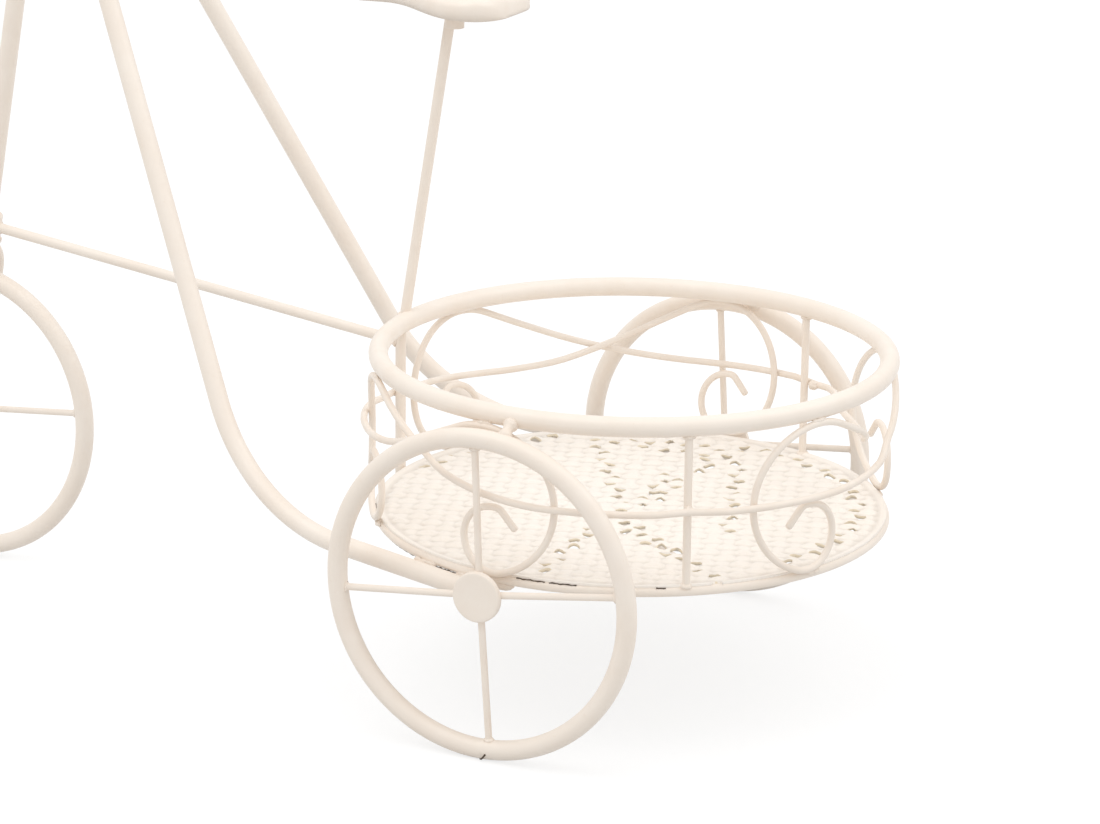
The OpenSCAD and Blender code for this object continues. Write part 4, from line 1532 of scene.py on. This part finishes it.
@dataclass
class Frame(SubAssembly):
    """The two bent frame tubes and the two sleeves.

    Attributes:
        tube_d: diameter of a frame tube.
        side_gap: gap between a tube's lower end and the rear spokes.
        spoke_d: diameter of a rear spoke.
        below: gap between the floor ring and a tube's lower end.
        knee_ahead: distance of the knee past the basket's radius.
        knee_in: how far a tube is drawn in up to its knee.
        knee_up: rise of a tube up to its knee.
        knee_r: bend radius at the knee.
        meet_ahead: distance from the knee to where the tubes would meet.
        meet_up: height from the knee to there.
        head_notch: how deep the tubes are notched against the head sleeve.
        drop_y: distance of the axle's outer welds from the middle.
    """

    tube_d: float = 0.010
    side_gap: float = 0.0025
    spoke_d: float = RearWheels.spoke_d
    below: float = 0.0002
    knee_ahead: float = 0.0356
    knee_in: float = 0.0305
    knee_up: float = 0.009
    knee_r: float = 0.107
    meet_ahead: float = 0.2006
    meet_up: float = 0.410
    head_notch: float = 0.0025
    drop_y: float = 0.1294

    SEAMS = ((0.016, 0.032), (0.0505, 0.060))

    def build(self) -> list:
        """Makes the frame tubes and sleeves.

        Returns:
            The welds at the axle, under the floor ring, at the head and at the brace rod's tip.
        """
        layout = self.layout
        head_side = span("head_sleeve", 1) / 2 + self.tube_d / 2 - self.head_notch
        welds: list = []
        for side in Side:
            near = -side.value
            foot, knee = self.lower_line(near)
            share = 1.0 - head_side / abs(knee.y)
            ahead = layout.ring_r + self.knee_ahead + self.meet_ahead * share
            head = layout.place(ahead, near * head_side, knee.z + self.meet_up * share)
            route = rounded_ends(bent([foot, knee, head], self.knee_r, 28), self.tube_d / 2)
            self.swept(side.name.lower() + "_frame_tube", route, self.shop.palette.paint, 40)
            up = (head - knee).normalized()
            welds.append(Weld(head + near * 0.003 * TO_FAR - up * 0.004, up, 0.0058, 0.0085))
            welds.append(Weld(Vector((layout.wheel_x - 0.0008, foot.y, layout.axle_z - 0.002)), TO_FAR, 0.0034, 0.0052))
            drop_end = Vector((layout.wheel_x + 0.005, side.value * self.drop_y, layout.axle_z + 0.0017))
            welds.append(Weld(drop_end, TO_REAR, 0.0022, 0.0060))
            for start, end in self.SEAMS:
                welds.extend(seam(self.under_ring(start, near), self.under_ring(end, near), 0.0015))
        self._sleeve("head_sleeve", 0.0012)
        self._sleeve("lower_sleeve", 0.0009)
        brace_low, brace_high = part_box("brace_rod")
        welds.append(Weld(Vector((brace_low.x, 0.0, brace_high.z - 0.0027)), TO_REAR, 0.0042, 0.0026))
        return welds

    def lower_line(self, near: float) -> tuple:
        """Measures the lower part of a frame tube's middle line.

        Args:
            near: 1 for the near tube, -1 for the far one.

        Returns:
            The tube's lower end and its knee.
        """
        layout = self.layout
        lower_y = layout.wheel_y - self.spoke_d / 2 - self.side_gap - self.tube_d / 2
        lower_z = layout.floor_z - (layout.floor_d + self.tube_d) / 2 - self.below
        forward = layout.basket_x - layout.wheel_x + self.tube_d * 0.2
        ahead = layout.ring_r + self.knee_ahead
        knee = layout.place(ahead, near * (lower_y - self.knee_in), lower_z + self.knee_up)
        return layout.place(forward, near * lower_y, lower_z), knee

    def under_ring(self, forward: float, near: float) -> Vector:
        """Finds the middle of the gap between the floor ring and a frame tube.

        Args:
            forward: how far ahead of the basket's middle the place lies.
            near: 1 for the near tube, -1 for the far one.

        Returns:
            The place on the line from the ring's middle to the tube's.
        """
        layout = self.layout
        foot, knee = self.lower_line(near)
        ring = layout.place(forward, near * math.sqrt(layout.ring_r**2 - forward**2), layout.floor_z)
        way = foot.lerp(knee, (foot.x - ring.x) / (foot.x - knee.x)) - ring
        reach = way.length
        return ring + way * ((layout.floor_d / 2 + reach - self.tube_d / 2) / 2) / reach

    def _sleeve(self, node: str, chamfer: float) -> None:
        """Makes a plain sleeve on the steering axis, with chamfered ends and a bore.

        Args:
            node: the sleeve's node.
            chamfer: size of the chamfer at its ends.
        """
        start, length, radius = self.layout.on_axis(node)
        bore = span("steering_column", 1) / 2 + PIN_GAP
        end = [(bore, 0.0), (radius - chamfer, 0.0), (radius, chamfer)]
        profile = [*end, *((out, length - up) for out, up in reversed(end))]
        self.turned(node, profile, self.layout.steer_axis, self.layout.on_steering(start), 56)


@dataclass
class JointLineAndCreviceShade(SubAssembly):
    """Fine dark lines: painted shade in the crevices along the floor sheet's edge, under the floor ring and between the
    ring and the near frame tube, and the dark butt joint under the near rim.

    Attributes:
        line_r: radius of a line.
        butt_r: how many times as thick the line under the near rim is.
        sheet_edge: radius of the seam between the floor sheet and its ring.
    """

    line_r: float = 0.00032
    butt_r: float = 1.7
    sheet_edge: float = 0.1314

    SHEET_TURNS = ((80.5, 86.0), (90.5, 97.0), (98.0, 104.0), (28.0, 31.0), (121.0, 123.0))
    RING_TURNS = ((49.0, 63.0),)
    TUBE_SPAN = (0.0335, 0.0495)
    STEPS = 16

    def build(self) -> list:
        """Makes the lines.

        Returns:
            An empty list, because these lines have no weld.
        """
        layout = self.layout
        frame_tubes = Frame(self.shop, layout)
        routes = []
        # Painted shade in the crevices at the sheet's edge and under the floor ring.
        for spans, radius, level in (
            (self.SHEET_TURNS, self.sheet_edge, layout.floor_z + 0.0023),
            (self.RING_TURNS, layout.ring_r + 0.0009, layout.floor_z - 0.0023),
        ):
            for first, last in spans:
                turns = spread(first, last, self.STEPS)
                routes.append([self._ragged(layout.round_place(turn, radius, level), turn) for turn in turns])
        # Painted shade in the crevice between the floor ring and the near frame tube.
        steps = spread(*self.TUBE_SPAN, self.STEPS)
        routes.append([self._ragged(frame_tubes.under_ring(forward, 1.0), 1000.0 * forward) for forward in steps])
        routes.append(self._butt_joint())
        steel = self.shop.palette.dark_joint_and_crevice_shade
        self.shop.piece("joint_line_and_crevice_shade", self.shop.tubes("joint_line_and_crevice_shade", routes, steel, 8), Body.STAND, steel)
        return []

    def _ragged(self, place: Vector, phase: float) -> tuple:
        """Returns a place moved a little up or down, with an uneven radius.

        Args:
            place: the place on the seam.
            phase: a number that grows along the seam.

        Returns:
            The place and the line's radius there.
        """
        wave = math.sin(phase * 2.3) + 0.6 * math.sin(phase * 5.1 + 1.0)
        return place + 0.00016 * wave * UP, self.line_r * (0.85 + 0.2 * math.sin(phase * 3.7))

    def _butt_joint(self) -> list:
        """Returns the line under the near rim where its tube is butted together.

        Returns:
            Its places and radii.
        """
        layout = self.layout
        centre = Vector((layout.wheel_x, -layout.wheel_y, layout.axle_z))
        route = []
        for step in range(13):
            way = on_wheel(RearWheels.seam_turn + 1.9 - 0.27 * step)
            round_tube = polar(layout.rim_d / 2 + 0.00012, 10.0 + 5.2 * step)
            place = centre + (layout.rim_r + round_tube.y) * way - round_tube.x * TO_FAR
            spot, radius = self._ragged(place, 1.7 * step)
            route.append((spot, radius * self.butt_r))
        return route


@dataclass
class Saddle(SubAssembly):
    """The pressed saddle.

    Attributes:
        wall: thickness of the pressed sheet.
        stations: cross-sections from the nose to the tail.
        rows: points across a cross-section.
    """

    wall: float = 0.0014
    stations: int = 40
    rows: int = 32

    NOSE_END = 0.08
    TAIL_START = 0.86

    def build(self) -> list:
        """Makes the saddle.

        Returns:
            The weld under it.
        """
        low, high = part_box("saddle")
        length = span("saddle", 0)
        half = span("saddle", 1) / 2
        shape = bmesh.new()
        grid: list = []
        for share in spread(0.0, 1.0, self.stations):
            along = low.x + length * (0.5 - 0.5 * math.cos(math.pi * share))
            reach = (along - low.x) / length
            skirt = low.z + 0.0012 * math.sin(math.pi * reach)
            crown = high.z - 0.0005 - 0.0030 * (1.0 - reach) ** 2 - 0.0016 * math.sin(math.pi * reach)
            crown = skirt + (crown - skirt) * self._end_round(reach)
            width = self._half_width(reach, half)
            rows = range(self.rows + 1)
            grid.append([shape.verts.new(self._section(along, width, crown, skirt, row)) for row in rows])
        for first, second in zip(grid, grid[1:]):
            for row in range(self.rows):
                shape.faces.new((first[row], first[row + 1], second[row + 1], second[row]))
        bmesh.ops.remove_doubles(shape, verts=shape.verts, dist=0.00002)
        mesh = self.shop.finished("saddle_pressed", shape, 180.0)
        made = self.shop.piece("saddle_pressed", mesh, Body.STAND, self.shop.palette.paint, replaces="saddle")
        if mesh.polygons[len(mesh.polygons) // 2].normal.z < 0.0:
            mesh.flip_normals()
        wall = made.modifiers.new("wall", "SOLIDIFY")
        wall.thickness = self.wall
        wall.offset = -1.0
        return [Weld(Vector((middle("saddle_socket", 0), 0.0, low.z + 0.004)), UP, 0.0062, 0.0020)]

    def _end_round(self, reach: float) -> float:
        """Returns the share of the saddle's height that is left near its nose and its tail.

        Args:
            reach: share of the saddle's length from the nose.

        Returns:
            1 along its middle, 0 at both ends.
        """
        nose = max(0.0, 1.0 - reach / self.NOSE_END)
        tail = max(0.0, (reach - self.TAIL_START) / (1.0 - self.TAIL_START))
        return (1.0 - max(nose, tail) ** 2.4) ** 0.45

    def _half_width(self, reach: float, half: float) -> float:
        """Returns the saddle's half width at a share of its length from the nose.

        Args:
            reach: share of the saddle's length from the nose.
            half: its largest half width.

        Returns:
            The half width there.
        """
        nose = half * 0.24
        flare = nose + (half - nose) * smooth_step((reach - 0.22) / 0.56)
        front = math.sqrt(max(0.0, 1.0 - (max(0.0, 0.09 - reach) / 0.09) ** 2))
        back = math.sqrt(max(0.0, 1.0 - (max(0.0, reach - 0.80) / 0.20) ** 2))
        return max(flare * min(front, 0.28 + 0.72 * back if reach > 0.8 else 1.0), 0.0006)

    def _section(self, along: float, width: float, crown: float, skirt: float, row: int) -> Vector:
        """Returns one point of a cross-section, from one lower edge over the crown to the other.

        Args:
            along: place of the cross-section along the stand.
            width: its half width.
            crown: height of its crown.
            skirt: height of its lower edges.
            row: number of the point.

        Returns:
            The point.
        """
        turn = math.pi * row / self.rows
        side, lift = -math.cos(turn), math.sin(turn)
        across = math.copysign(abs(side) ** 0.62, side) * width
        dish = min(0.0011, 0.1 * (crown - skirt)) * math.exp(-((across / 0.007) ** 2))
        return Vector((along, across, skirt + (crown - skirt) * lift**0.34 - dish * lift))


@dataclass
class Steering(SubAssembly):
    """The fork, stem, handlebar and grips.

    Attributes:
        fork_d: diameter of the fork's rod.
        eye_d: outer diameter of the eyes.
        bar_d: diameter of the handlebar.
        bar_back: how far the handlebar's ends reach back.
        bar_arm: half length of its middle.
        bar_flare: how far its ends turn outwards.
        bar_tilt: how far its ends rise from square to the steering axis, in degrees.
        bar_bend: its bend radius.
        grip_ribs: number of ribs on a grip.
        grip_len: length of a grip.
        grip_end: thickness of a grip's closed end.
        grip_r: outer radius of a grip.
    """

    fork_d: float = 0.007
    eye_d: float = 0.016
    bar_d: float = 0.008
    bar_back: float = 0.092
    bar_arm: float = 0.078
    bar_flare: float = 0.014
    bar_tilt: float = 6.0
    bar_bend: float = 0.024
    grip_ribs: int = 13
    grip_len: float = 0.052
    grip_end: float = 0.004
    grip_r: float = 0.007

    def build(self) -> list:
        """Makes the fork, the stem clamp, the bar and the grips.

        Returns:
            The welds on the fork.
        """
        welds = self._fork()
        self._stem()
        self._bar()
        return welds

    def _fork(self) -> list:
        """Makes the fork's arch and legs with its two eyes.

        Returns:
            Its welds.
        """
        layout = self.layout
        paint = self.shop.palette.paint
        radius = self.fork_d / 2
        half = (span("fork", 1) - self.fork_d) / 2
        crown = (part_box("steering_column")[0] - layout.hub).z / layout.steer_axis.z
        top = crown + span("steering_column", 1) / 2 * layout.steer_axis.x / layout.steer_axis.z
        arch = top - radius - half
        leg_end = self.eye_d * 0.42
        places = [layout.on_steering(leg_end, 0.0, half)]
        for turn in spread(0.0, math.pi, 32):
            places.append(layout.on_steering(arch + half * math.sin(turn), 0.0, half * math.cos(turn)))
        places.append(layout.on_steering(leg_end, 0.0, -half))
        shape = bmesh.new()
        shape.from_mesh(self.shop.tubes("fork_rod", [rounded_ends(places, radius)], paint, 32))
        pin_r = span("front_axle", 2) / 2 + PIN_GAP
        outer = self.eye_d / 2
        soft = 0.0008
        end = [(pin_r, 0.0), (outer - soft, 0.0), (outer, soft)]
        profile = [*end, *((out, self.fork_d - up) for out, up in reversed(end))]
        welds = [Weld(layout.on_steering(top - 0.0006), layout.steer_axis, 0.0066, 0.0026)]
        for side in Side:
            foot = layout.hub + (side.value * half - radius) * TO_FAR
            shape.from_mesh(self.shop.lathe("fork_eye", profile, TO_FAR, foot, 48))
            leg = layout.on_steering(self.eye_d * 0.47, 0.0, side.value * half)
            welds.append(Weld(leg, layout.steer_axis, 0.0042, 0.0024))
        mesh = self.shop.finished("fork_bent", shape)
        self.shop.piece("fork_bent", mesh, Body.STEERING, paint, replaces="fork")
        return welds

    def _stem(self) -> None:
        """Makes the stem clamp with chamfers, a waist and a rounded top, and its bolt."""
        layout = self.layout
        start, length, radius = layout.on_axis("stem_clamp")
        waist = radius * 0.86
        profile = [(0.0, 0.0), (radius - 0.0012, 0.0), (radius, 0.0012), (radius, length * 0.36)]
        profile += [(waist, length * 0.42), (waist, length * 0.56), (radius, length * 0.62), (radius, length - 0.0035)]
        profile += [(radius * 0.93, length - 0.0013), (radius * 0.74, length), (0.0, length)]
        self.turned("stem_clamp", profile, layout.steer_axis, layout.on_steering(start), 64, Body.STEERING)
        head_r = span("clamp_bolt", 1) / 2 * 1.02
        base = layout.on_steering(start + length / 4, -radius + 0.0004)
        mesh = self.shop.hex_head("clamp_bolt_head", head_r, 0.0030, -layout.rearwards, base)
        self.shop.piece("clamp_bolt_head", mesh, Body.STEERING, self.shop.palette.fastener, replaces="clamp_bolt")

    def _bar(self) -> None:
        """Makes the handlebar and its two ribbed grips."""
        layout = self.layout
        start, length, _ = layout.on_axis("stem_clamp")
        root = layout.on_steering(start + length - self.bar_d / 2 - 0.004)
        tilt = polar(self.bar_back, self.bar_tilt)
        back = layout.rearwards * tilt.x + layout.steer_axis * tilt.y
        arm, tip = self.bar_arm * TO_FAR, (self.bar_arm + self.bar_flare) * TO_FAR
        corners = [root + back - tip, root - arm, root + arm, root + back + tip]
        route = rounded_ends(bent(corners, self.bar_bend, 24), self.bar_d / 2)
        self.swept("handlebar", route, self.shop.palette.paint, 36, Body.STEERING)
        self._grip("near_grip", corners[0], corners[1])
        self._grip("far_grip", corners[3], corners[2])

    def _grip(self, node: str, end: Vector, root: Vector) -> None:
        """Makes a grip: a sleeve with a flange, a rounded end and ribs round its middle.

        Args:
            node: the grip's node.
            end: the handlebar's end.
            root: the corner from which the handlebar runs to that end.
        """
        way = (end - root).normalized()
        foot = end - way * (self.grip_len - self.grip_end)
        outer, length, grip = self.grip_r, self.grip_len, self.shop.palette.grip
        core = outer - 0.0012
        bore = self.bar_d / 2 + PIN_GAP
        top = length - self.grip_end + 0.0001
        profile = [(0.0, top), (bore, top), (bore, 0.0), (outer * 0.98, 0.0), (outer, 0.0006), (outer, 0.0026)]
        profile += [(core, 0.0036), (core, length - 0.008), (outer - 0.0002, length - 0.0066)]
        for turn in (0.0, 0.4, 0.8, 1.2, 1.57):
            profile.append((outer - 0.0032 + 0.003 * math.cos(turn), length - 0.003 + 0.003 * math.sin(turn)))
        profile.append((0.0, length))
        shape = bmesh.new()
        shape.from_mesh(self.shop.lathe(node + "_sleeve", profile, way, foot, 48))
        rail = bpy.data.meshes.new(node + "_rail")
        rail.from_pydata([foot + way * 0.0058, foot + way * (length - 0.0096)], [(0, 1)], [])
        sizes = {"Count": self.grip_ribs, "Radius": core, "Thickness": 0.0008, "Finish": grip}
        shape.from_mesh(self.shop.grown(node + "_ribs", rail, self.shop.rib_tree, sizes))
        mesh = self.shop.finished(node + "_ribbed", shape)
        self.shop.piece(node + "_ribbed", mesh, Body.STEERING, grip, replaces=node, slot=Slot.GRIP)


@dataclass
class FrontWheel(SpokedWheel):
    """The steered front wheel: its hub, nuts and welds.

    Attributes:
        barrel_r: radius of the hub between its flanges.
        flange_t: thickness of a flange.
    """

    spoke_d: float = 0.004
    seam_turn: float = 132.0
    barrel_r: float = 0.0065
    flange_t: float = 0.003

    def build(self) -> list:
        """Makes the hub and the axle nuts.

        Returns:
            The welds of the spokes and the rim.
        """
        self._hub()
        self._nuts()
        return self.rim_welds(self.layout.hub)

    def _hub(self) -> None:
        """Makes the hub with a waisted barrel and two flanges with softened rims."""
        flange_r = span("front_hub", 0) / 2
        length = span("front_hub", 1)
        bore = span("front_axle", 2) / 2 + PIN_GAP
        barrel, flange_t = self.barrel_r, self.flange_t
        soft = 0.0007
        end = [(bore, 0.0), (flange_r * 0.62, 0.0), (flange_r * 0.66, 0.0004), (flange_r - soft, 0.0004)]
        end += [(flange_r, soft), (flange_r, flange_t - soft), (flange_r - soft, flange_t)]
        end += [(barrel + 0.0014, flange_t), (barrel, flange_t + 0.0014)]
        profile = [*end, (barrel - 0.0004, length / 2), *((out, length - up) for out, up in reversed(end))]
        self.turned("front_hub", profile, TO_FAR, self.layout.hub - length / 2 * TO_FAR, 64, Body.WHEEL)

    def _nuts(self) -> None:
        """Makes the two nuts, each a six-sided body under a domed cap."""
        fork_low, fork_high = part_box("fork")
        radius = span("axle_nuts", 0) / 2
        depth = (span("axle_nuts", 1) - span("fork", 1)) / 2
        cap_r = radius * 0.74
        turns = spread(0.0, math.pi / 2, 8)[:-1]
        dome = [(cap_r * math.cos(turn), depth * 0.62 + depth * 0.38 * math.sin(turn)) for turn in turns]
        profile = [(0.0, depth * 0.3), (cap_r, depth * 0.3), *dome, (0.0, depth)]
        shape = bmesh.new()
        for side in Side:
            axis = side.value * TO_FAR
            seat = Vector((self.layout.hub.x, fork_high.y if side is Side.FAR else fork_low.y, self.layout.hub.z))
            shape.from_mesh(self.shop.hex_head("axle_nut_body", radius, depth * 0.66, axis, seat))
            shape.from_mesh(self.shop.lathe("axle_nut_cap", profile, axis, seat, 40))
        mesh = self.shop.finished("axle_nuts_capped", shape)
        self.shop.piece("axle_nuts_capped", mesh, Body.STEERING, self.shop.palette.fastener, replaces="axle_nuts")


# Dressing of the construction's own nodes


@dataclass
class Dressing:
    """Gives every node of the construction its finish.

    Attributes:
        palette: the finishes.
        thin: the nodes made of rod.
        small: the fasteners, washers and pins.
    """

    palette: Palette
    thin: tuple = ("front_upright", "wall_posts", "wheel_lugs", "brace_rod", "seat_post", *SPOKES)
    small: tuple = ("upper_washer", "lower_washer", "axle_spacers", "axle_nuts", "clamp_bolt", "front_axle")

    def build(self, nodes: dict) -> None:
        """Assigns a material to each node.

        Args:
            nodes: the frame's nodes by name.
        """
        finishes = {
            **dict.fromkeys(self.thin, self.palette.rod_paint),
            **dict.fromkeys(self.small, self.palette.fastener),
            **dict.fromkeys(("near_grip", "far_grip"), self.palette.grip),
            "floor_sheet": self.palette.sheet,
        }
        for name, node in nodes.items():
            material = finishes.get(name, self.palette.paint)
            if not node.material_slots:
                node.data.materials.append(material)
            for slot in node.material_slots:
                slot.material = material
            LOG.info("node %s: %s", name, material.name)


# Floor, light and camera


@dataclass(frozen=True)
class Studio:
    """Pale floor, soft light and the camera at the photograph's viewing angle.

    Attributes:
        layout: the stand's layout.
        floor_size: side of the floor.
        sky: strength of the even light from all round.
        key_power: power of the large lamp over the stand.
        fill_power: power of the lamp on the other side.
        eye: the camera's place from the basket's middle, rearwards and towards the far side, and its height.
        look: the direction that the camera looks along.
        roll: turn of the picture, in degrees.
        lens: focal length in millimetres on a 36 mm sensor.
    """

    layout: Layout
    floor_size: float = 40.0
    sky: float = 0.88
    key_power: float = 18.0
    fill_power: float = 12.0
    eye: tuple = (0.8878, -1.8697, 0.7637)
    look: tuple = (-0.42837, 0.85643, -0.28813)
    roll: float = -0.681
    lens: float = 138.4

    def build(self) -> None:
        """Makes the floor, the world, the lamps and the camera."""
        self._floor()
        self._world()
        self._lamp("key_lamp", Vector((-0.7, -1.0, 2.6)), 2.2, self.key_power)
        self._lamp("fill_lamp", Vector((1.5, 0.7, 2.1)), 2.0, self.fill_power)
        self._camera()
        bpy.context.scene.view_settings.view_transform = "Standard"

    def _floor(self) -> None:
        """Makes the floor, which the camera sees as white with the stand's soft shadow."""
        reach = self.floor_size / 2
        mesh = bpy.data.meshes.new("studio_floor")
        corners = [(-reach, -reach, 0.0), (reach, -reach, 0.0), (reach, reach, 0.0), (-reach, reach, 0.0)]
        mesh.from_pydata(corners, [], [range(4)])
        floor = bpy.data.objects.new("studio_floor", mesh)
        bpy.context.scene.collection.objects.link(floor)
        made = bpy.data.materials.new("pale_floor")
        made.use_nodes = True
        tree = Tree(made.node_tree)
        made.node_tree.nodes.remove(made.node_tree.nodes["Principled BSDF"])
        seen = tree.add("ShaderNodeBsdfDiffuse", {"Color": (0.30, 0.30, 0.30, 1.0)})
        glow = tree.add("ShaderNodeEmission", {"Color": (1.0, 1.0, 1.0, 1.0), "Strength": 0.74})
        both = tree.add("ShaderNodeAddShader", {0: seen, 1: glow})
        plain = tree.add("ShaderNodeBsdfDiffuse", {"Color": (0.65, 0.65, 0.645, 1.0)})
        ray = tree.add("ShaderNodeLightPath")
        direct = tree.math("MAXIMUM", ray.outputs["Is Camera Ray"], ray.outputs["Is Glossy Ray"])
        mixed = tree.add("ShaderNodeMixShader", {0: direct, 1: plain, 2: both})
        tree.fill(made.node_tree.nodes["Material Output"].inputs, {"Surface": mixed})
        mesh.materials.append(made)

    def _world(self) -> None:
        """Makes the even light, which is white where the camera or a reflection sees it."""
        world = bpy.data.worlds.new("studio_sky")
        world.use_nodes = True
        bpy.context.scene.world = world
        tree = Tree(world.node_tree)
        background = world.node_tree.nodes["Background"]
        ray = tree.add("ShaderNodeLightPath")
        strength = tree.ramp(ray.outputs["Is Camera Ray"], 0.0, 1.0, self.sky, 1.0)
        tree.fill(background.inputs, {"Color": (1.0, 1.0, 1.0, 1.0), "Strength": strength})

    def _lamp(self, name: str, offset: Vector, size: float, power: float) -> None:
        """Adds a large square lamp that points at the basket.

        Args:
            name: the lamp's name.
            offset: its place from the foot of the basket.
            size: its side.
            power: its power in watts.
        """
        data = bpy.data.lights.new(name, "AREA")
        data.shape = "SQUARE"
        data.size = size
        data.energy = power
        lamp = bpy.data.objects.new(name, data)
        bpy.context.scene.collection.objects.link(lamp)
        aim = self.layout.place(0.1, 0.0, 0.15)
        lamp.location = self.layout.place(0.0, 0.0, 0.0) + offset
        lamp.rotation_euler = (aim - lamp.location).to_track_quat("-Z", "Y").to_euler()

    def _camera(self) -> None:
        """Adds the camera and makes it the scene's."""
        data = bpy.data.cameras.new("photo_camera")
        data.lens = self.lens
        data.sensor_width = 36.0
        data.clip_end = 60.0
        camera = bpy.data.objects.new("photo_camera", data)
        bpy.context.scene.collection.objects.link(camera)
        ahead = Vector(self.look).normalized()
        right = ahead.cross(UP).normalized()
        above = right.cross(ahead)
        turn = math.radians(self.roll)
        across = right * math.cos(turn) - above * math.sin(turn)
        upright = right * math.sin(turn) + above * math.cos(turn)
        matrix = Matrix((across, upright, -ahead)).transposed().to_4x4()
        matrix.translation = self.layout.place(0.0, 0.0, 0.0) + Vector(self.eye)
        camera.matrix_world = matrix
        bpy.context.scene.camera = camera


def main() -> None:
    """Builds the stand's pieces in order."""
    logging.basicConfig(level=logging.INFO, format="%(name)s: %(message)s")
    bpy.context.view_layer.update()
    layout = Layout.measured(frame["joints"])
    shop = Workshop(Palette())
    Studio(layout).build()
    Dressing(shop.palette).build(frame["nodes"])
    stand_welds: list = []
    for part in (
        Basket(shop, layout),
        ScrollWires(shop, layout),
        RearWheels(shop, layout),
        Frame(shop, layout),
        JointLineAndCreviceShade(shop, layout),
        Saddle(shop, layout),
    ):
        stand_welds.extend(part.build())
    steering_welds = Steering(shop, layout).build()
    wheel_welds = FrontWheel(shop, layout).build()
    for name, welds, body, seed in (
        ("stand_welds", stand_welds, Body.STAND, 3),
        ("steering_welds", steering_welds, Body.STEERING, 5),
        ("front_wheel_welds", wheel_welds, Body.WHEEL, 8),
    ):
        shop.piece(name, shop.beads(name, welds, seed), body, shop.palette.weld)


if __name__ == "__main__":
    main()
